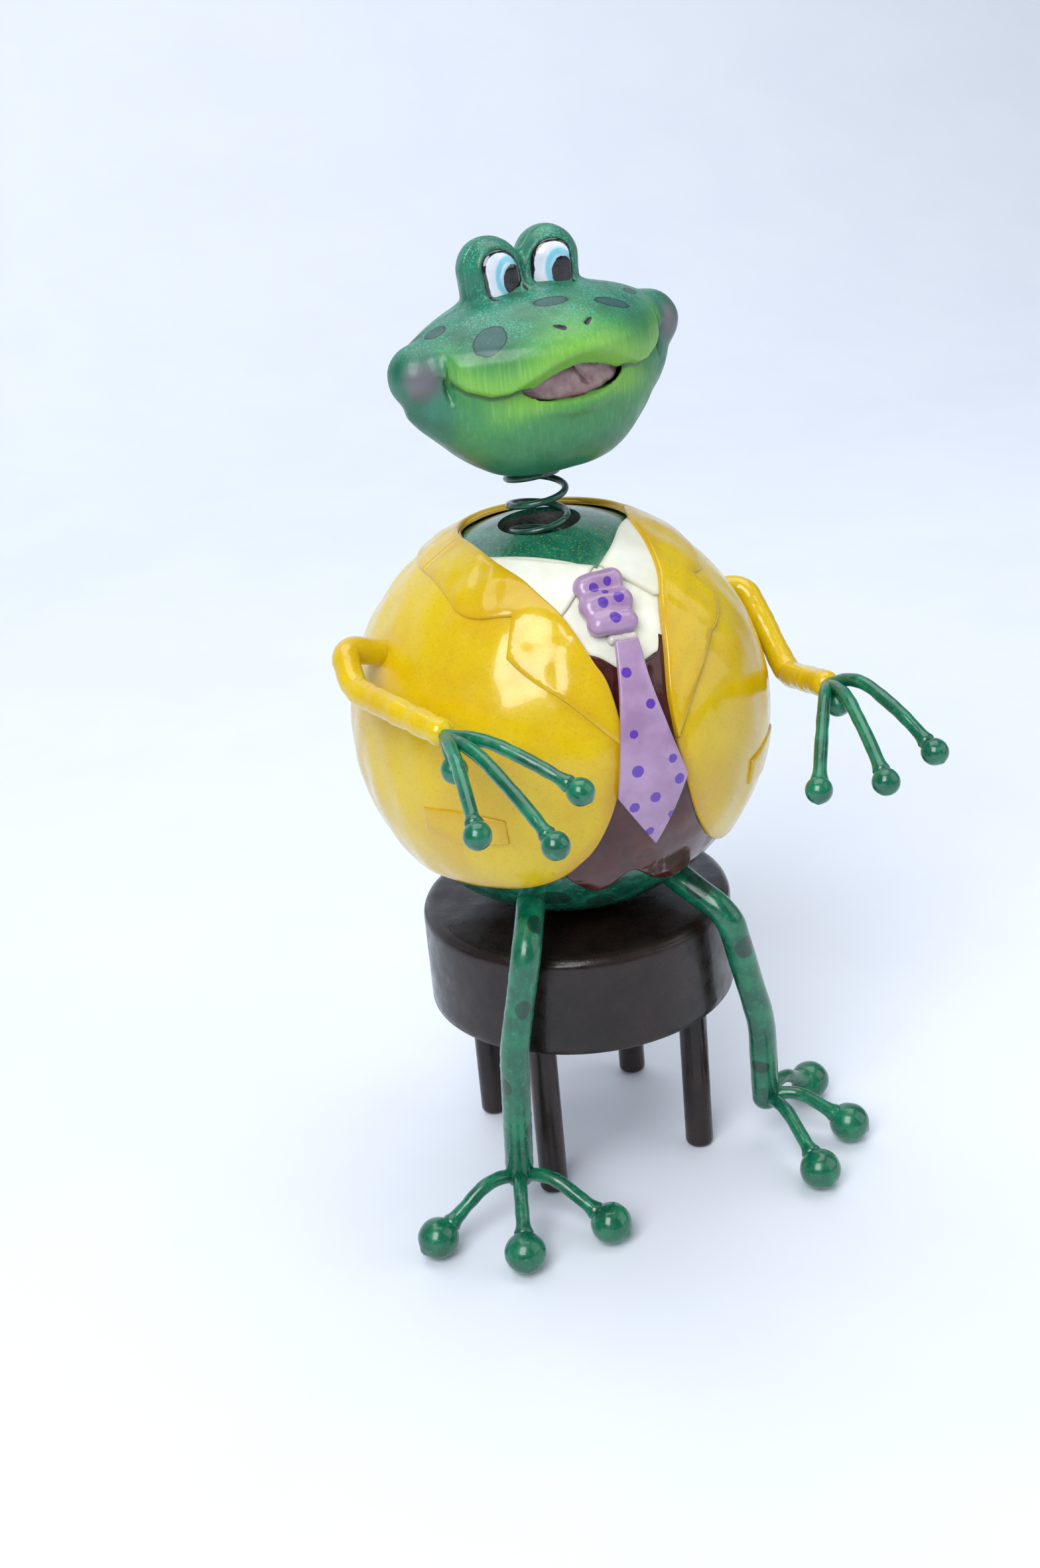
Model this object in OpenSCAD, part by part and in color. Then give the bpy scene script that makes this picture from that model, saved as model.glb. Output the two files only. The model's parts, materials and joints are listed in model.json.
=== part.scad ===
// Nodding frog figure: a sheet-metal ball body in a jacket, waistcoat and tie, seated on a
// round stool. The head stands on a coil spring and nods, sways, turns and bounces.
// Millimetres, +Z up, the frog looks along -Y. The frog's right hand is on the -X side.

/* [Body] */
// Radius of the ball body
body_r = 38; // [36:0.5:40]
// Height of the ball's centre over the floor
body_z = 92.5; // [90:0.5:96]
// Thickness of the ball's sheet metal
sheet = 0.8; // [0.6:0.1:1.2]
// Diameter of the hole in the top of the ball
neck_hole_d = 15; // [14:0.5:16]

/* [Clothes] */
// Thickness of the shirt and the waistcoat
shirt_t = 0.4; // [0.3:0.05:0.5]
// Outer radius of the jacket
coat_r = 39.2; // [39:0.1:39.6]
// Thickness of the lapels and the jacket collar
lapel_t = 0.7; // [0.5:0.1:0.9]
// Radius of the jacket's opening around the neck
neck_opening_r = 15.5; // [15:0.5:17]
// Radius at which the tie's blade stands off the waistcoat
tie_r = 40.2; // [40:0.1:41]

/* [Limbs] */
// Diameter of the arm rods
arm_d = 5; // [4:0.5:5.5]
// Diameter of the leg rods
leg_d = 5.5; // [5:0.5:6]
// Diameter of the finger wires
finger_d = 2.4; // [2:0.1:2.6]
// Diameter of the balls on the fingertips
fingertip_d = 4.7; // [4:0.1:5]
// Diameter of the toe wires
toe_d = 2.8; // [2.4:0.1:3]
// Diameter of the balls on the toes
toe_ball_d = 7.8; // [7:0.2:8.4]

/* [Head] */
// Place of the head's middle
head_at = [0.8, -2.4, 158]; // [-200:0.1:200]
// Turn of the head to the frog's left
head_yaw = 7; // [0:1:12]
// Lean of the head to the frog's right
head_lean = 2.5; // [0:0.5:5]
// Wall thickness of the head's two shells
head_wall = 2; // [1.5:0.1:2.5]
// Distance from the middle of the head to the middle of a cheek
cheek_x = 23.2; // [22:0.1:24]
// Radius of a cheek
cheek_r = 5.3; // [5:0.1:5.6]
// Distance of the brow domes from the middle of the head
dome_x = 5.6; // [5:0.1:6]
// Radius of the brow domes
dome_r = 5.6; // [5.2:0.1:6]
// Height of the brow domes' tops over the middle of the head
dome_top = 22.3; // [20:0.1:24]

/* [Neck spring] */
// Wire diameter
wire_d = 1.25; // [1:0.05:1.4]
// Mean diameter of the coil
coil_d = 10.4; // [10:0.1:11]
// Rise of the coil in one turn
pitch = 4.9; // [4.5:0.1:5.2]
// Place of the spring's axis
spring_at = [-1.7, -1.5]; // [-5:0.1:5]
// Height of the spring's lower end over the floor
spring_foot_z = 117.3; // [117:0.1:118]
// Turns from the lower end to where each of the five stretches ends
stretch_turns = [1.35, 2.2, 3, 3.75, 4.36]; // [0:0.01:5]
// Where round its axis the spring's lower end is, in turns from the frog's left
coil_start = 0.36; // [0:0.01:1]

/* [Stool] */
// Radius of the seat
seat_r = 30; // [28:0.5:31]
// Thickness of the seat
seat_t = 20; // [18:0.5:22]
// Radius of the seat's rounded upper edge
seat_edge = 2.5; // [1.5:0.5:4]
// Thickness of the seat's sheet metal
seat_sheet = 1; // [0.8:0.1:1.4]
// Diameter of the stool's legs
stool_leg_d = 5.5; // [5:0.5:7]
// Distance of a stool leg from the two middle planes
stool_leg_at = 16; // [14:0.5:16]

/* [Hidden] */
$fn = 48;

gap = 0.03;                       // between layers that lie on each other
sit = 0.5;                        // how far the ball's bottom is flattened
seat_z = body_z - body_r + sit;   // top of the seat
shirt_r = body_r + gap + shirt_t; // outside of the shirt and the waistcoat
lapel_r = coat_r + gap + lapel_t; // outside of the lapels
cup_r = 8.6;                      // outside of the cup that holds the spring
post_r = (coil_d - wire_d) / 2 - 0.12;
head_base = -17.8;                // flat underside of the head, from its middle
spigot_z = head_at[2] + head_base - 0.3;   // top of the spigot's thick end
screw_r = 1.6;

// Hands and feet. Right-hand side lists have x negative.
right_wrist = [-35.1, -36.9, 107.7];
left_wrist = [36, -37.2, 101.2];
right_tips = [[-39.2, -60.3, 100.1], [-28.4, -65.2, 97.6], [-20.2, -56.9, 101.6]];
left_tips = [[41.8, -62, 95.6], [30.5, -65, 94], [22.5, -57, 91.4]];
right_thumb_tip = [-35, -39.5, 102.6];
left_thumb_tip = [35.6, -41.2, 98.9];
right_ankle = [-25, -22, 9.5];
left_ankle = [28.5, -21.5, 9.5];
right_toes = [[-43.5, -25.7], [-30.8, -37.8], [-13.1, -37.2]];
left_toes = [[43.5, -12.5], [42.5, -30], [29.5, -41]];

// The middle of the part's depth is the frame's middle
front_reach = -right_tips[1][1] + fingertip_d / 2;
back_reach = coat_r;
axis_y = (front_reach - back_reach) / 2;

yellow = [0.86, 0.68, 0.05];
green = [0.02, 0.42, 0.26];
dark_green = [0.03, 0.25, 0.17];
cream = [0.93, 0.92, 0.84];
wine = [0.26, 0.1, 0.09];
lilac = [0.62, 0.48, 0.68];
dark_brown = [0.13, 0.09, 0.08];
pink = [0.66, 0.47, 0.48];
steel = [0.6, 0.6, 0.58];

module placed() { translate([0, axis_y, 0]) children(); }
module at_body() { placed() translate([0, 0, body_z]) children(); }
module at_spring() { placed() translate([spring_at[0], spring_at[1], 0]) children(); }
module at_head() { placed() translate(head_at) rotate([0, -head_lean, head_yaw]) children(); }

// A direction from the ball's centre: az from the front to the frog's left, lat upwards
function facing(az, lat) = [sin(az) * cos(lat), -cos(az) * cos(lat), sin(lat)];
function unit(v) = v / norm(v);
function mirrored(outline) = [for (p = outline) [-p[0], p[1]]];

// ---- Pieces cut from ball shells ----

// Positive where a flat outline runs anticlockwise about n
function winding(c, n) = [for (i = 1, sum = 0; i < len(c); sum = sum + cross(c[i - 1] - c[0],
  c[i] - c[0]) * n, i = i + 1) sum][len(c) - 2];
function reversed(list) = [for (i = [len(list) - 1:-1:0]) list[i]];

// A pyramid from the ball's centre through an outline of [az, lat] corners
module wedge(outline, middle) {
  n = facing(middle[0], middle[1]);
  far = 60;
  drawn = [for (p = outline) let (d = facing(p[0], p[1])) d * far / (d * n)];
  corners = winding(drawn, n) > 0 ? reversed(drawn) : drawn;
  count = len(outline);
  polyhedron(
    points = concat([[0, 0, 0]], corners),
    faces = concat([[for (i = [1:count]) i]],
                   [for (i = [0:count - 1]) [0, (i + 1) % count + 1, i + 1]]));
}

module ball_shell(outer, thickness) {
  difference() {
    sphere(outer, $fn = 128);
    sphere(outer - thickness, $fn = 128);
  }
}

// The jacket's front opening, from the neck down its right edge and up its left edge
coat_right_edge = [[-67, 65], [-49, 61], [-34, 56], [-26, 51], [-18, 44], [-11, 32],
                   [-8, 26], [-6.3, 15], [-6.8, 5], [-10, -7], [-15, -18], [-20, -24],
                   [-26, -29], [-36, -33]];
coat_left_edge = [[36, -33], [28, -29.5], [22, -25], [15.5, -16], [11.6, -6], [9, 5],
                  [8.5, 15], [9.5, 23], [15, 37], [20, 44], [28, 51], [39, 59], [62, 67]];
opening = concat(coat_right_edge, [[-36, -50], [36, -50]], coat_left_edge);
hem_z = -22;

module opening_wedge() { wedge(opening, [0, 20]); }

module jacket_panel(side) {
  color(yellow) at_body() difference() {
    intersection() {
      ball_shell(coat_r, coat_r - shirt_r - gap);
      translate([side > 0 ? 0.02 : -60.02, -60, hem_z]) cube([60, 120, 100]);
    }
    opening_wedge();
    cylinder(h = 60, r = neck_opening_r);
    arm_hole(side);
  }
}
module jacket_right_panel() { jacket_panel(-1); }
module jacket_left_panel() { jacket_panel(1); }

// Where an arm passes the ball and the jacket
module arm_hole(side) {
  p = (side < 0 ? arm_right_bends[0] : arm_left_bends[0]) - [0, 0, body_z];
  q = (side < 0 ? arm_right_bends[1] : arm_left_bends[1]) - [0, 0, body_z];
  translate(p) aim(q - p) cylinder(h = 40, r = arm_d / 2 + 0.1, center = true);
}

// Turns +Z onto a direction
module aim(d) {
  rotate([0, acos(d[2] / norm(d)), atan2(d[1], d[0])]) children();
}

lapel_right_outer = [[-7.5, 9], [-12, 15], [-17, 20], [-22, 24], [-27, 27], [-32, 30.5],
                     [-36.5, 34], [-36, 45], [-49, 44], [-57, 45], [-65, 48.5], [-90, 53]];
lapel_left_outer = [[9.5, 8.5], [12, 13], [17, 19], [25, 25.5], [31, 30], [42, 34],
                    [47, 38], [44, 45], [57, 46], [66, 48.5], [90, 53]];

module lapel(outer, middle) {
  color(yellow) at_body() difference() {
    intersection() {
      ball_shell(lapel_r, lapel_t);
      wedge(concat([[0, 8], [0, 80]], middle[0] < 0 ? [[-90, 70]] : [[90, 70]],
                   reversed(outer)), middle);
    }
    opening_wedge();
    cylinder(h = 60, r = neck_opening_r);
  }
}
module lapel_right() { lapel(lapel_right_outer, [-45, 45]); }
module lapel_left() { lapel(lapel_left_outer, [45, 45]); }

module jacket_collar() {
  low = lapel_r * sin(53);
  color(yellow) at_body() difference() {
    intersection() {
      ball_shell(lapel_r, lapel_t);
      translate([-60, gap, low]) cube([120, 60, 60]);
    }
    cylinder(h = 60, r = neck_opening_r);
  }
}

module pocket_flap(side) {
  flap = [[38, -8], [50, -6], [62, -7], [63, -14], [51, -17], [38, -15]];
  color(yellow) at_body() intersection() {
    ball_shell(coat_r + gap + 0.5, 0.5);
    wedge(side > 0 ? flap : mirrored(flap), [side * 50, -12]);
  }
}
module pocket_flap_right() { pocket_flap(-1); }
module pocket_flap_left() { pocket_flap(1); }

module shirt_front() {
  color(cream) at_body() intersection() {
    ball_shell(shirt_r, shirt_t);
    wedge([[-60, 64], [2.6, 58], [60, 66], [30, 46], [17, 32], [10, 31], [-2, 28.5],
           [-9, 33], [-16, 33], [-32, 50]], [0, 45]);
  }
}

// A collar point lies on the shirt and fills the jacket's opening up to its edge
module shirt_collar(points, middle) {
  color(cream) at_body() intersection() {
    ball_shell(shirt_r + gap + 0.5, 0.5);
    wedge(points, middle);
    wedge(opening, [0, 20]);
    difference() {
      sphere(60);
      cylinder(h = 60, r = 14);
    }
  }
}
module shirt_collar_right() { shirt_collar([[-75, 66], [1.8, 59], [-20, 42], [-60, 50]], [-30, 55]); }
module shirt_collar_left() { shirt_collar([[3.4, 59], [75, 70], [60, 50], [22, 43]], [35, 56]); }

module waistcoat() {
  color(wine) at_body() intersection() {
    ball_shell(shirt_r, shirt_t);
    wedge([[-16, 32.8], [-9, 32.8], [-2, 28.3], [10, 30.8], [17, 31.8], [24, 0], [30, -28],
           [25, -38], [18, -42], [8, -39.5], [-3, -30.5], [-9.5, -36], [-15.5, -38.5],
           [-21, -34], [-30, -26], [-20, 0]], [0, -5]);
  }
}

// Three folds, each a fat capsule across the front
module tie_knot() {
  folds = [[52, 1.7, 2.6], [46, 1.9, 2.7], [40.2, 1.8, 2.6]];   // [lat, half length, radius]
  color(lilac) at_body() difference() {
    union() for (f = folds) hull() for (side = [-1, 1])
      translate(facing(-2, f[0]) * (body_r + 1.2) + [side * f[1], 0, 0]) sphere(f[2], $fn = 20);
    sphere(shirt_r + gap + 0.5, $fn = 128);
  }
}

module tie_blade() {
  outline = [[3.5, 35], [3.4, 24], [5.9, 11], [9.3, -0.4], [0.5, -18], [-9.4, -2.8],
             [-7.4, 12.4], [-5.4, 25.8], [-3.9, 35.3]];
  color(lilac) at_body() intersection() {
    ball_shell(tie_r + 0.8, 0.8);
    wedge(outline, [0, 8]);
  }
}

// ---- The ball ----

module neck_hole() {
  translate([spring_at[0], spring_at[1], 0]) cylinder(h = 60, d = neck_hole_d);
}

module body_top_shell() {
  color(green) at_body() difference() {
    intersection() {
      ball_shell(body_r, sheet);
      translate([-60, -60, 0]) cube([120, 120, 60]);
    }
    neck_hole();
    arm_hole(-1);
    arm_hole(1);
  }
}

// The lower half has a lap that stands up inside the upper half
module body_bottom_shell() {
  lap = 3;
  floor_t = 1.4;
  color(green) at_body() difference() {
    union() {
      intersection() {
        ball_shell(body_r, sheet);
        translate([-60, -60, -60]) cube([120, 120, 60 - gap]);
      }
      difference() {
        translate([0, 0, -5]) cylinder(h = lap + 5, r = body_r - sheet - 0.15, $fn = 128);
        translate([0, 0, -6]) cylinder(h = lap + 7, r = body_r - 2 * sheet, $fn = 128);
      }
      intersection() {
        sphere(body_r - 0.1, $fn = 128);
        translate([0, 0, -body_r + sit]) cylinder(h = floor_t, r = 9);
      }
    }
    translate([0, 0, -body_r + sit - 10]) cylinder(h = 10, r = 20);
    translate([0, 0, -body_r]) cylinder(h = 5, r = screw_r + 0.1);
    leg_hole(-1);
    leg_hole(1);
  }
}

module leg_hole(side) {
  p = leg_bends(side)[0] - [0, 0, body_z];
  q = leg_bends(side)[1] - [0, 0, body_z];
  translate(p) aim(q - p) cylinder(h = 30, r = leg_d / 2 + 0.1, center = true);
}

// ---- Rods and wires ----

function tangent(p, i) = unit(p[min(i + 1, len(p) - 1)] - p[max(i - 1, 0)]);
function square_to(v, t) = unit(v - (v * t) * t);
function rod_sides(p) = [
  for (i = 0, s = square_to([0.31, 0.52, 0.8], tangent(p, 0)); i < len(p);
       s = square_to(s, tangent(p, min(i + 1, len(p) - 1))), i = i + 1) s];

// A round rod along a path
module rod(path, r, sides = 12) {
  n = len(path);
  across = rod_sides(path);
  points = [for (i = [0:n - 1], k = [0:sides - 1])
    let (a = across[i], b = cross(tangent(path, i), a), t = 360 * k / sides)
      path[i] + r * (cos(t) * a + sin(t) * b)];
  polyhedron(
    points = points,
    faces = concat([[for (k = [sides - 1:-1:0]) k]],
                   [for (i = [0:n - 2], k = [0:sides - 1]) let (m = (k + 1) % sides)
                     [i * sides + k, i * sides + m, (i + 1) * sides + m, (i + 1) * sides + k]],
                   [[for (k = [0:sides - 1]) (n - 1) * sides + k]]));
}

// A path through bends: each inner corner is rounded, starting at a distance from it
function bent(corners, reach, steps = 6) = concat(
  [corners[0]],
  [for (i = [1:len(corners) - 2], k = [0:steps]) let (
    c = corners[i],
    before = c + unit(corners[i - 1] - c) * reach,
    after = c + unit(corners[i + 1] - c) * reach,
    t = k / steps)
      (1 - t) * (1 - t) * before + 2 * t * (1 - t) * c + t * t * after],
  [corners[len(corners) - 1]]);

arm_right_bends = [[-31, -1.5, 110.5], [-41.5, -4.2, 114.5], [-42.5, -11.5, 109.5],
                   [-35.2, -35, 107.8]];
arm_left_bends = [[31, 2.5, 108], [39.7, 0.2, 108.9], [40.3, -15, 95.3], [36, -36.5, 101]];

module arm(bends) { color(yellow) placed() rod(bent(bends, 3.2), arm_d / 2, 14); }
module arm_right() { arm(arm_right_bends); }
module arm_left() { arm(arm_left_bends); }

// A finger rises from the wrist, arches and droops to its ball
module finger(wrist, tip, arch) {
  rise = wrist + (tip - wrist) * 0.3 + [0, 0, arch];
  droop = wrist + (tip - wrist) * 0.75 + [0, 0, arch * 0.6];
  color(green) placed() rod(bent([wrist, rise, droop, tip], 4.5, 4), finger_d / 2, 10);
}
module thumb(wrist, tip) {
  color(green) placed() rod([wrist, (wrist + tip) / 2, tip], finger_d / 2, 10);
}
module tip_balls(tips) {
  color(green) placed() for (t = tips) translate(t) sphere(d = fingertip_d, $fn = 32);
}
module right_outer_finger() { finger(right_wrist, right_tips[0], 2.5); }
module right_middle_finger() { finger(right_wrist, right_tips[1], 3); }
module right_inner_finger() { finger(right_wrist, right_tips[2], 2.5); }
module right_thumb() { thumb(right_wrist, right_thumb_tip); }
module right_fingertip_balls() { tip_balls(concat(right_tips, [right_thumb_tip])); }
module left_outer_finger() { finger(left_wrist, left_tips[0], 5); }
module left_middle_finger() { finger(left_wrist, left_tips[1], 4); }
module left_inner_finger() { finger(left_wrist, left_tips[2], 4); }
module left_thumb() { thumb(left_wrist, left_thumb_tip); }
module left_fingertip_balls() { tip_balls(concat(left_tips, [left_thumb_tip])); }

// A leg leaves the ball over the seat, bends at the knee past the seat's rim and comes down
leg_right_bends = [[-15.8, -18.5, 66.5], [-22, -29.5, 60.5], [-25.5, -27.5, 40], right_ankle];
leg_left_bends = [[11.3, -17.3, 63.8], [18.6, -29, 56.6], [26, -26, 30], left_ankle];
function leg_bends(side) = side < 0 ? leg_right_bends : leg_left_bends;
module leg(side) { color(green) placed() rod(bent(leg_bends(side), 3.8), leg_d / 2, 14); }
module leg_right() { leg(-1); }
module leg_left() { leg(1); }

function toe_tip(side, n) = concat(side < 0 ? right_toes[n] : left_toes[n], [toe_ball_d / 2]);
module toe(side, n) {
  start = side < 0 ? right_ankle : left_ankle;
  tip = toe_tip(side, n);
  rise = start + (tip - start) * 0.35 + [0, 0, 4];
  color(green) placed() rod(bent([start, rise, tip], 4, 4), toe_d / 2, 10);
}
module toe_balls(side) {
  color(green) placed() for (n = [0:2]) translate(toe_tip(side, n)) sphere(d = toe_ball_d, $fn = 48);
}
module right_outer_toe() { toe(-1, 0); }
module right_middle_toe() { toe(-1, 1); }
module right_inner_toe() { toe(-1, 2); }
module right_toe_balls() { toe_balls(-1); }
module left_outer_toe() { toe(1, 0); }
module left_middle_toe() { toe(1, 1); }
module left_inner_toe() { toe(1, 2); }
module left_toe_balls() { toe_balls(1); }

// ---- The head, in its own axes: x to the frog's left, -y forward, z up ----

// Level, half width, front reach, back reach and squareness of the head's front outline
head_levels = [[head_base, 8, 7, 8, 2], [-16.6, 10.8, 9.3, 10.8, 2], [-13, 15.2, 11.5, 12, 1.8],
               [-7, 21.5, 13, 13.5, 1.5], [-2, 25.3, 15.5, 14, 1.35], [2, 27, 17.5, 14, 1.3],
               [4.5, 26.5, 18, 14, 1.3], [6.5, 24.5, 17, 13.5, 1.3], [8, 21, 15.3, 13, 1.4],
               [10, 15.5, 12, 12, 1.6], [11.5, 11, 9, 10.5, 1.8], [13, 5, 5, 6, 2]];
head_sides = 32;

function power(v, e) = sign(v) * pow(abs(v), e);
function head_ring(level, inset) = [for (k = [0:head_sides - 1]) let (
    t = 360 * k / head_sides,
    front = sin(t) < 0,
    e = 2 / (front ? level[4] : 1.8),
    reach = front ? level[2] : level[3])
      [(level[1] - inset) * power(cos(t), e), 1 + (reach - inset) * power(sin(t), e), level[0]]];

module head_form(inset) {
  levels = [for (l = head_levels) if (inset == 0 || (l[0] > -16 && l[0] < 9)) l];
  n = len(levels);
  polyhedron(
    points = [for (l = levels) each head_ring(l, inset)],
    faces = concat([[for (k = [0:head_sides - 1]) k]],
                   [for (i = [0:n - 2], k = [0:head_sides - 1]) let (m = (k + 1) % head_sides)
                     each [[i * head_sides + k, (i + 1) * head_sides + k, i * head_sides + m],
                           [i * head_sides + m, (i + 1) * head_sides + k,
                            (i + 1) * head_sides + m]]],
                   [[for (k = [head_sides - 1:-1:0]) (n - 1) * head_sides + k]]));
}

// A slot with round ends, its length across x
module slot(half_length, r) {
  square([2 * half_length, 2 * r], center = true);
  for (end = [-1, 1]) translate([end * half_length, 0]) circle(r);
}

mouth_at = [0, -14, -1.5];
module mouth_space(r, depth) {
  translate(mouth_at) rotate([90, 0, 0]) linear_extrude(height = depth, center = true)
    slot(5.5, r);
}

dome_y = 4.3;
eye_z = 15.2;
module eye_space(side, depth) {
  translate([side * dome_x, dome_y - dome_r - 2, eye_z]) rotate([-90, 0, 0])
    linear_extrude(height = depth + 2) rotate(90) slot(1.8, 3.2);
}

// A brow dome stands upright and is round on top
module dome(side) {
  hull() {
    translate([side * dome_x, dome_y, 6]) cylinder(h = 1, r = dome_r, $fn = 24);
    translate([side * dome_x, dome_y, dome_top - dome_r]) sphere(dome_r, $fn = 24);
  }
}

// A cheek swells out of the head's side
module cheek(side) {
  hull() {
    translate([side * cheek_x, 1.2, 2.2]) sphere(cheek_r, $fn = 24);
    translate([side * 15, 1.5, 1.5]) sphere(cheek_r, $fn = 24);
  }
}

module head_solid() {
  head_form(0);
  for (side = [-1, 1]) {
    cheek(side);
    dome(side);
  }
}

module head_shell(front) {
  seam_y = 3.5;
  color(green) at_head() difference() {
    intersection() {
      head_solid();
      translate([-60, front ? seam_y - 60 : seam_y + 0.02, -60]) cube([120, 60, 120]);
    }
    head_form(head_wall);
    mouth_space(2.9, 10);
    eye_space(-1, 2.4);
    eye_space(1, 2.4);
    spigot_hole();
  }
}
module head_front_shell() { head_shell(true); }
module head_back_shell() { head_shell(false); }

module spigot_hole() {
  rotate([0, head_lean, 0]) rotate([0, 0, -head_yaw]) translate(-head_at)
    translate([spring_at[0], spring_at[1], spigot_z - 1]) cylinder(h = 6.1, r = screw_r + 0.1);
}

module mouth_lining() {
  color(pink) at_head() intersection() {
    mouth_space(2.7, 20);
    translate([-20, -11.9, -20]) cube([40, 1, 40]);
  }
}

module eye(side) {
  color("white") at_head() intersection() {
    eye_space(side, 2.35);
    dome(side);
  }
}
module eye_right() { eye(-1); }
module eye_left() { eye(1); }

// A turned pin: its thick end fills the spring's top turn and its stem goes into the head
module head_spigot() {
  color(steel) at_spring() translate([0, 0, spigot_z]) {
    translate([0, 0, -wire_d]) cylinder(h = wire_d, r = post_r);
    translate([0, 0, -1]) cylinder(h = 6, r = screw_r);
  }
}

// ---- The neck spring ----

function coil_point(turn) = let (a = 360 * (turn + coil_start))
  [coil_d / 2 * cos(a), coil_d / 2 * sin(a), spring_foot_z + wire_d / 2 + pitch * turn];
module spring_stretch(n) {
  steps = 18;                                   // rings in a turn
  square_end = 0.006;                           // turns; a short first piece squares the cut
  from = n == 0 ? 0 : stretch_turns[n - 1] + 0.001;
  to = stretch_turns[n];
  count = ceil((to - from) * steps);
  turns = concat([from, from + square_end], [for (i = [1:count - 1]) from + (to - from) * i / count],
                 [to - square_end, to]);
  color(dark_green) at_spring() rod([for (t = turns) coil_point(t)], wire_d / 2, 8);
}
module neck_spring_1() { spring_stretch(0); }
module neck_spring_2() { spring_stretch(1); }
module neck_spring_3() { spring_stretch(2); }
module neck_spring_4() { spring_stretch(3); }
module neck_spring_5() { spring_stretch(4); }

// A drawn cup welded under the neck hole
module spring_cup() {
  color(steel) at_body() intersection() {
    translate([spring_at[0], spring_at[1], 0]) difference() {
      translate([0, 0, spring_foot_z - body_z - 1]) cylinder(h = 20, r = cup_r);
      translate([0, 0, spring_foot_z - body_z]) cylinder(h = 20, r = cup_r - 0.6);
      translate([0, 0, spring_foot_z - body_z - 2]) cylinder(h = 5, r = screw_r + 0.05);
    }
    sphere(body_r - sheet - gap, $fn = 128);
  }
}

module spring_post() {
  color(steel) at_spring() translate([0, 0, spring_foot_z]) {
    cylinder(h = 3.5, r = post_r);
    translate([0, 0, -2.5]) cylinder(h = 2.6, r = screw_r);
    translate([0, 0, -2.5]) cylinder(h = 1.4, r = 3);
  }
}

// ---- The stool ----

// A pressed pan, open below, with a rounded upper edge
module stool_seat() {
  color(dark_brown) placed() difference() {
    translate([0, 0, seat_z - seat_t]) rotate_extrude($fn = 128) difference() {
      pan_outline(seat_r, seat_t, seat_edge);
      translate([0, -1]) pan_outline(seat_r - seat_sheet, seat_t + 1 - seat_sheet,
                                     seat_edge - seat_sheet);
    }
    translate([0, 0, seat_z - 5]) cylinder(h = 10, r = screw_r + 0.1);
  }
}

// Half of an upright section: a block whose upper outer corner is round
module pan_outline(r, h, edge) {
  square([r - edge, h]);
  square([r, h - edge]);
  translate([r - edge, h - edge]) circle(edge, $fn = 32);
}

// Closes the pan below and steadies the legs
module stool_base_plate() {
  color(dark_brown) placed() difference() {
    translate([0, 0, seat_z - seat_t + 1]) cylinder(h = seat_sheet, r = seat_r - seat_sheet - gap);
    for (x = [-1, 1], y = [-1, 1]) translate([x * stool_leg_at, y * stool_leg_at, seat_z - seat_t])
      cylinder(h = 5, d = stool_leg_d + 0.04);
  }
}

// A rod with a rounded lower edge around its flat foot, welded under the pan's top
module stool_leg(x, y) {
  edge = 1;
  r = stool_leg_d / 2;
  color(dark_brown) placed() translate([x * stool_leg_at, y * stool_leg_at, 0]) rotate_extrude() {
    square([r - edge, edge]);
    translate([0, edge]) square([r, seat_z - seat_sheet - edge]);
    intersection() {
      translate([r - edge, edge]) circle(edge, $fn = 32);
      square([r, edge]);
    }
  }
}
module stool_leg_front_right() { stool_leg(-1, -1); }
module stool_leg_front_left() { stool_leg(1, -1); }
module stool_leg_back_right() { stool_leg(-1, 1); }
module stool_leg_back_left() { stool_leg(1, 1); }

// The screw that holds the ball on the seat, with its nut inside the ball
module seat_screw() {
  color(steel) placed() translate([0, 0, seat_z]) {
    translate([0, 0, -seat_sheet - 2.02]) cylinder(h = 2, r = 2.9);
    translate([0, 0, -seat_sheet - 1]) cylinder(h = seat_sheet + 7, r = screw_r);
    translate([0, 0, 1.42]) cylinder(h = 2.4, r = 3.1, $fn = 6);
  }
}

body_top_shell();
body_bottom_shell();
jacket_right_panel();
jacket_left_panel();
lapel_right();
lapel_left();
jacket_collar();
pocket_flap_right();
pocket_flap_left();
shirt_front();
shirt_collar_right();
shirt_collar_left();
waistcoat();
tie_knot();
tie_blade();
arm_right();
arm_left();
right_outer_finger();
right_middle_finger();
right_inner_finger();
right_thumb();
right_fingertip_balls();
left_outer_finger();
left_middle_finger();
left_inner_finger();
left_thumb();
left_fingertip_balls();
leg_right();
leg_left();
right_outer_toe();
right_middle_toe();
right_inner_toe();
right_toe_balls();
left_outer_toe();
left_middle_toe();
left_inner_toe();
left_toe_balls();
head_front_shell();
head_back_shell();
mouth_lining();
eye_right();
eye_left();
head_spigot();
neck_spring_1();
neck_spring_2();
neck_spring_3();
neck_spring_4();
neck_spring_5();
spring_cup();
spring_post();
stool_seat();
stool_base_plate();
stool_leg_front_right();
stool_leg_front_left();
stool_leg_back_right();
stool_leg_back_left();
seat_screw();
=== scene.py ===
"""The nodding frog figure: fine meshes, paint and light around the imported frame."""
import json
import math

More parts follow.
